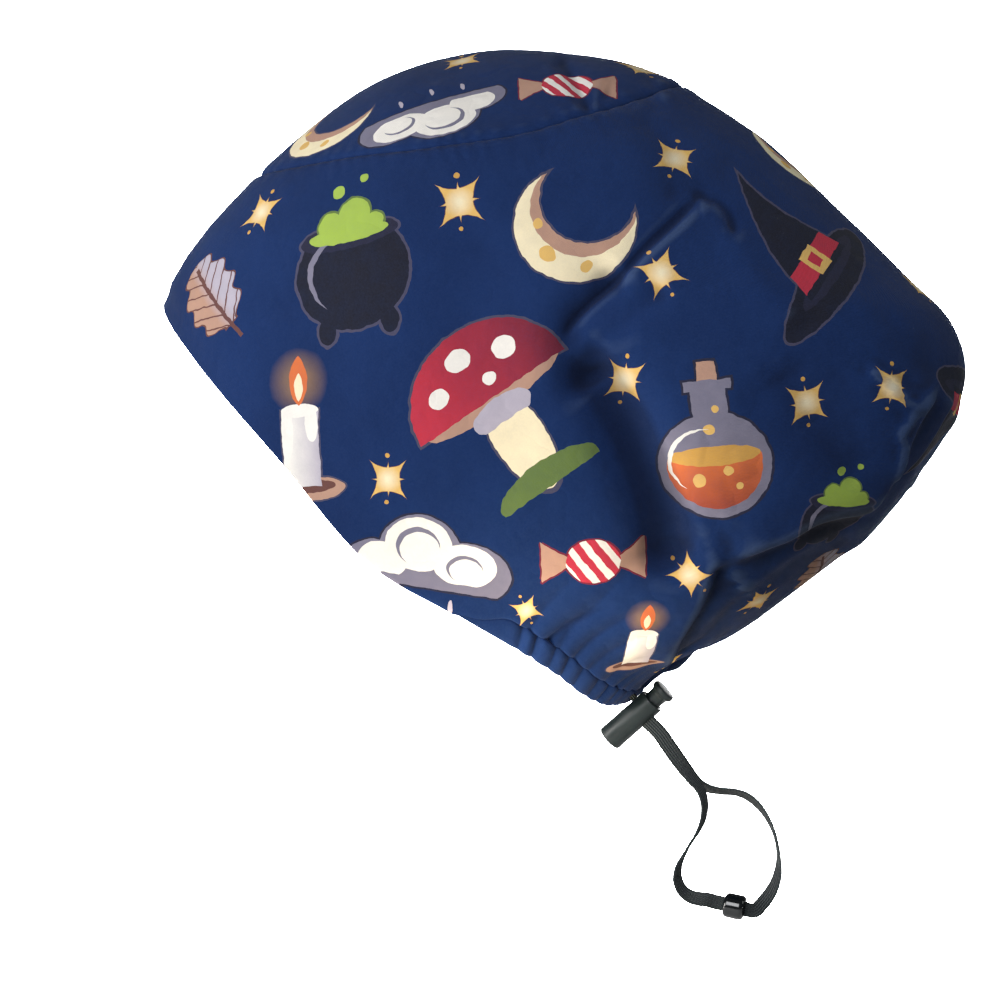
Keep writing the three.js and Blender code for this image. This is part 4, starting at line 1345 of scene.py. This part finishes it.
# Painted highlight and shade: the small hump makes ridges paler, partly as rubbed dye, and creases darker
# with painted shade.
body_ridge_rub_and_crease_shade = hump(body_push) * (0.4 + 0.6 * smooth(0, 50, body_height))
body = make_piece("body_panel_cloth", body_rings, body_faces.tolist(), printed_cotton)
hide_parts("body_panel")
carry(body, "inside", np.repeat(body_inside, body_columns))
carry(body, "ridge_rub_and_crease_shade", body_ridge_rub_and_crease_shade[body_source] * (1 - body_inside)[:, None])
carry(body, "hollow", body_hollow_shade[body_source] * (1 - body_inside)[:, None])
around = cap_width * math.pi * 1.5
body_threads = np.stack(np.broadcast_arrays(angles[None] / (2 * math.pi) * around, body_height), -1)
chosen, centres, outs = seen_places(near_places, body_plain, body_outs)
body_places = joined(placements(chosen, centres, outs), placed_by_angle(middle_places))
lay_print(
    body, body_plain[body_source].reshape(-1, 3), body_places,
    body_threads[body_source].reshape(-1, 2), around)
print(len(body_places["number"]), "motifs on the body, the closest", smallest_gap(body_places), "mm apart")

# %% The crown panel
crown_rows, crown_columns = 70, 400
crown_inner_rows = 20
crown_reach = 0.985
clear_of_rim = 400.0
crown_angles = crowded_angles(crown_columns)
crown_inset = 3 * seam_inset
crown_ups = (1 + crown_inset + (crown_reach - crown_inset) * np.linspace(0, 1, crown_rows))[:, None]
crown_plain = plain_point(crown_angles[None], crown_ups)
crown_outs = plain_normal(crown_angles[None], crown_ups)
crown_to_seam = np.linalg.norm(crown_plain - plain_point(crown_angles, 1.0), axis=-1)
far_up = np.full(crown_plain.shape[:-1], clear_of_rim)
middle_fade = smooth(0, 0.12, 2 - crown_ups)
crown_push = cloth_push(crown_angles[None], crown_plain, far_up) * middle_fade
crown_push = crown_push + seam_push(crown_to_seam, crown_angles[None])
crown_wall = np.full(crown_push.shape, cloth_thickness)
crown_rings, crown_source, crown_inside = wall(
    crown_plain, crown_outs, crown_push, crown_wall, crown_inner_rows, top_edge=False)
grid = squares(len(crown_rings), crown_columns, True, True)
open_band = np.arange((crown_rows - 1) * crown_columns, crown_rows * crown_columns)
flat_rings = crown_rings.reshape(-1, 3)
turned_grid = outward(flat_rings, grid)
is_turned = bool((turned_grid[0] != grid[0]).any())
middles = np.stack([crown_rings[crown_rows - 1].mean(0), crown_rings[crown_rows].mean(0)])
fans = end_fans(
    crown_rows * crown_columns, (crown_rows - 1) * crown_columns, crown_columns, len(flat_rings) + 1,
    len(flat_rings))
fans = fans[:, ::-1] if is_turned else fans
crown_faces = np.delete(turned_grid, open_band, axis=0).tolist() + fans.tolist()
crown = make_piece(
    "crown_panel_cloth", np.concatenate([flat_rings, middles]), crown_faces, printed_cotton)
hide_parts("crown_panel")
carry(crown, "inside", np.concatenate([np.repeat(crown_inside, crown_columns), [0, 1]]))
# Painted highlight and shade on the crown: ridges paler, partly as rubbed dye, and creases darker with
# painted shade.
ridge_rub_and_crease_shade = (hump(crown_push)[crown_source] * (1 - crown_inside)[:, None]).ravel()
carry(crown, "ridge_rub_and_crease_shade", np.concatenate([ridge_rub_and_crease_shade, [0, 0]]))
crown_threads = np.stack(np.broadcast_arrays(crown_plain[..., 0], crown_plain[..., 1]), -1)
top_places = placed_by_angle(crown_places)
print(len(crown_places), "motifs on the crown, the closest", smallest_gap(top_places), "mm apart")
top = plain_point(0.0, 2.0)
lay_print(
    crown, np.concatenate([crown_plain[crown_source].reshape(-1, 3), [top, top]]), top_places,
    np.concatenate([crown_threads[crown_source].reshape(-1, 2), [top[:2], top[:2]]]))

# %% The gathered channel
casing_depth = 4.6
channel_wall = 0.9
channel_columns = 36
outer_count, inner_count = 440, 140
closed_end = 12.0
strip_round = 28.0


def channel_section(length, inset):
    """Rings round the channel: a squared oval from the rim up to the seam, whose outer face follows the
    gathers and whose foot is scalloped by them."""
    angle = np.sign(length) * np.interp(np.abs(length), rim_lengths, rim_angles)
    foot = plain_point(angle, 0.0)
    height = channel_height(length)
    rising = unit(plain_point(angle, up_at_height(angle, height)) - foot)
    out = plain_normal(angle, np.full(len(angle), 0.02))
    wave = gather_push(length, np.zeros(len(length)))
    wave = np.minimum(wave, -2.2) if inset else wave
    low, high = inset - 0.18 * wave, height - inset
    depth = casing_depth * (0.3 + 0.7 * height / casing_height)
    turn = np.linspace(0, 2 * math.pi, channel_columns, endpoint=False)
    cosine, sine = np.cos(turn), np.sin(turn)
    share = 0.5 + 0.5 * np.sign(cosine) * np.abs(cosine) ** 0.55
    rise = low[:, None] + (high - low)[:, None] * share
    near = wave[:, None] * (0.45 + 0.55 * share) + 0.15 - inset
    far = (0.25 * wave - depth + inset)[:, None]
    deep = 0.5 * (near + far) + 0.5 * (near - far) * np.sign(sine) * np.abs(sine) ** 0.5
    places = foot[:, None] + rise[..., None] * rising[:, None] + deep[..., None] * out[:, None]
    return places, foot[:, None] + rise[..., None] * rising[:, None]


channel_end = casing_reach + casing_tail
outer_lengths = np.linspace(-channel_end, channel_end, outer_count)
inner_lengths = np.linspace(casing_reach - closed_end, closed_end - casing_reach, inner_count)
channel_outer, channel_plain = channel_section(outer_lengths, 0.0)
channel_inner, inner_plain = channel_section(inner_lengths, channel_wall)
channel_rings = np.concatenate([channel_outer, channel_inner])
channel_flat = np.concatenate([channel_plain, inner_plain]).reshape(-1, 3)
channel_faces = outward(
    channel_rings.reshape(-1, 3), squares(len(channel_rings), channel_columns, True, True))
channel = make_piece("nape_channel", channel_rings, channel_faces.tolist(), printed_cotton)
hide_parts("nape_casing")
channel_inside = np.concatenate([np.zeros(outer_count), np.ones(inner_count)])
carry(channel, "inside", np.repeat(channel_inside, channel_columns))
channel_lengths = np.concatenate([outer_lengths, inner_lengths])
channel_threads = np.stack(np.broadcast_arrays(
    channel_lengths[:, None], np.linspace(0, strip_round, channel_columns)[None]), -1).reshape(-1, 2)
lay_print(channel, channel_flat, body_places, channel_threads)
print("the channel is", 2 * channel_end, "mm long")

# %% Elastic in the channel and through the lock
hidden_start, hidden_end = 6.0, 72.0


def hidden_elastic(name, side):
    """The elastic inside the channel, from beside the mouth to where the channel narrows."""
    length = side * np.linspace(hidden_start, hidden_end, 80)
    section, _ = channel_section(length, channel_wall)
    turn = np.full(len(length), upright)
    piece, made = make_strip(name, section.mean(1), turn, width=4.6, thickness=1.0)
    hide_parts("casing_elastic_left" if side > 0 else "casing_elastic_right")
    print(name, "is", round(made), "mm long")


hidden_elastic("channel_elastic_left", 1)
hidden_elastic("channel_elastic_right", -1)
for side in (-1, 1):
    reach = np.linspace(-(barrel_radius + 2.2), barrel_radius - 0.4, 24)[:, None]
    middle = lock_place + reach * lock_out + np.array([0.0, side * 0.62, 0.0]) + 1.7 * lock_axis
    strip_name = "lock_elastic_left" if side < 0 else "lock_elastic_right"
    make_strip(strip_name, middle, np.full(len(middle), upright), width=2.4, thickness=1.1)

# %% [markdown]
# ## What the cloth was cut to
#
# The body panel is a long curved band, the crown is an oval, and the channel is a strip folded in half. The
# areas of the first two are worked out on the plain cap.

# %% Sheets


def grid_area(points):
    """Area of a grid that is closed one way: half of the cross product of each square's diagonals."""
    one = np.roll(points, -1, 1)[1:] - points[:-1]
    other = points[1:] - np.roll(points, -1, 1)[:-1]
    return 0.5 * np.linalg.norm(np.cross(one, other), axis=-1).sum()


body_area = grid_area(body_plain) * MM * MM
crown_area = grid_area(crown_plain) * MM * MM
print("body", round(body_area, 4), "m2 and crown", round(crown_area, 4), "m2")

# %% [markdown]
# ## Floor and light
#
# The cap is held up in its worn form, so the floor lies below the bead. It is a pale sweep that curves up
# behind, which leaves no horizon. It has lamps of its own and throws no light back on the cap. One soft light
# stands in front of the cap at its level and a second one glows from below it. The third stands nearer to
# the camera and higher, and a cool one marks the back edge. None of them reaches under the pouch, which
# stays dark as in the picture. A small warm card, which no camera or reflection sees, lights the nape from
# below. The last light stands behind the cap, so that its far side shows too when it is seen from there.

# %% Floor
floor_height = -560.0
floor_start, floor_half_width = -2600.0, 3500.0
sweep_start, sweep_radius, sweep_top = 1700.0, 500.0, 2600.0
arc = np.linspace(0, math.pi / 2, 24)
run = np.concatenate([[floor_start], sweep_start + sweep_radius * np.sin(arc), [sweep_start + sweep_radius]])
rise = np.concatenate([[0.0], sweep_radius * (1 - np.cos(arc)), [sweep_top]])
width = np.array([-floor_half_width, floor_half_width])
sweep = run[:, None, None] * away + width[None, :, None] * across + \
    np.array([0, 0, 1.0]) * (floor_height + rise)[:, None, None]
floor_mesh = bpy.data.meshes.new("floor")
floor_mesh.from_pydata(
    (sweep.reshape(-1, 3) * MM).tolist(), [], squares(len(run), 2, False, False).tolist())
floor_mesh.polygons.foreach_set("use_smooth", np.ones(len(floor_mesh.polygons), bool))
paper = Graph("pale_paper", 0.95)
paper.finish(paper.mix(paper.noise(paper.coords, 3.0), linear(244, 244, 243), linear(250, 250, 250)))
floor_mesh.materials.append(paper.material)
floor = add_object("floor", floor_mesh)
floor.visible_diffuse = False

# %% Light


def area_light(name, place, look_at, size, power, colour=(1.0, 1.0, 1.0)):
    """A square area light at place, turned to face look_at."""
    data = bpy.data.lights.new(name, "AREA")
    data.size = size * MM
    data.energy = power
    data.color = colour
    light = add_object(name, data)
    light.location = np.array(place) * MM
    way = unit(np.array(look_at, float) - np.array(place, float))
    turn = math.atan2(way[0], -way[1])
    light.rotation_euler = (math.acos(-way[2]), 0.0, turn + math.pi)
    return light


def camera_side(right, forward, up):
    """A place given as seen from the camera: millimetres to its right, towards it and up, from the cap."""
    return right * across - forward * away + np.array([0.0, 0.0, up])


area_light("key", camera_side(-1300, 700, 120), (20, 0, 20), 650, 15, (1.0, 0.98, 0.95))
area_light("low_glow", camera_side(-1400, 300, -500), (20, 0, -40), 500, 8, (1.0, 0.98, 0.95))
area_light("fill", camera_side(-500, 1400, 500), (40, 0, 0), 800, 16, (0.97, 0.98, 1.0))
nape_card = area_light(
    "nape_card", camera_side(-5, 90, -122), camera_side(44, 40, -50), 100, 0.12, (1.0, 0.84, 0.62))
nape_card.data.spread = math.radians(80)
nape_card.visible_camera = False
nape_card.visible_glossy = False
area_light("back_edge", camera_side(1500, 100, 500), (60, 0, 20), 600, 5, (0.93, 1.0, 0.97))
far_side = area_light("far_side", camera_side(-200, -1300, 20), (40, 0, 20), 500, 14)
far_side.visible_camera = False
far_side.visible_glossy = False
for side in (-1, 1):
    paper_light = area_light(
        "paper_light", camera_side(side * 900, -900, 1000), camera_side(0, -2200, 0), 600, 55)
    paper_light.data.spread = math.radians(60)
world = bpy.data.worlds.new("soft_room")
world.use_nodes = True
world.node_tree.nodes["Background"].inputs["Color"].default_value = (0.86, 0.90, 1.0, 1.0)
world.node_tree.nodes["Background"].inputs["Strength"].default_value = 0.075
bpy.context.scene.world = world
bpy.context.scene.view_settings.view_transform = "Standard"
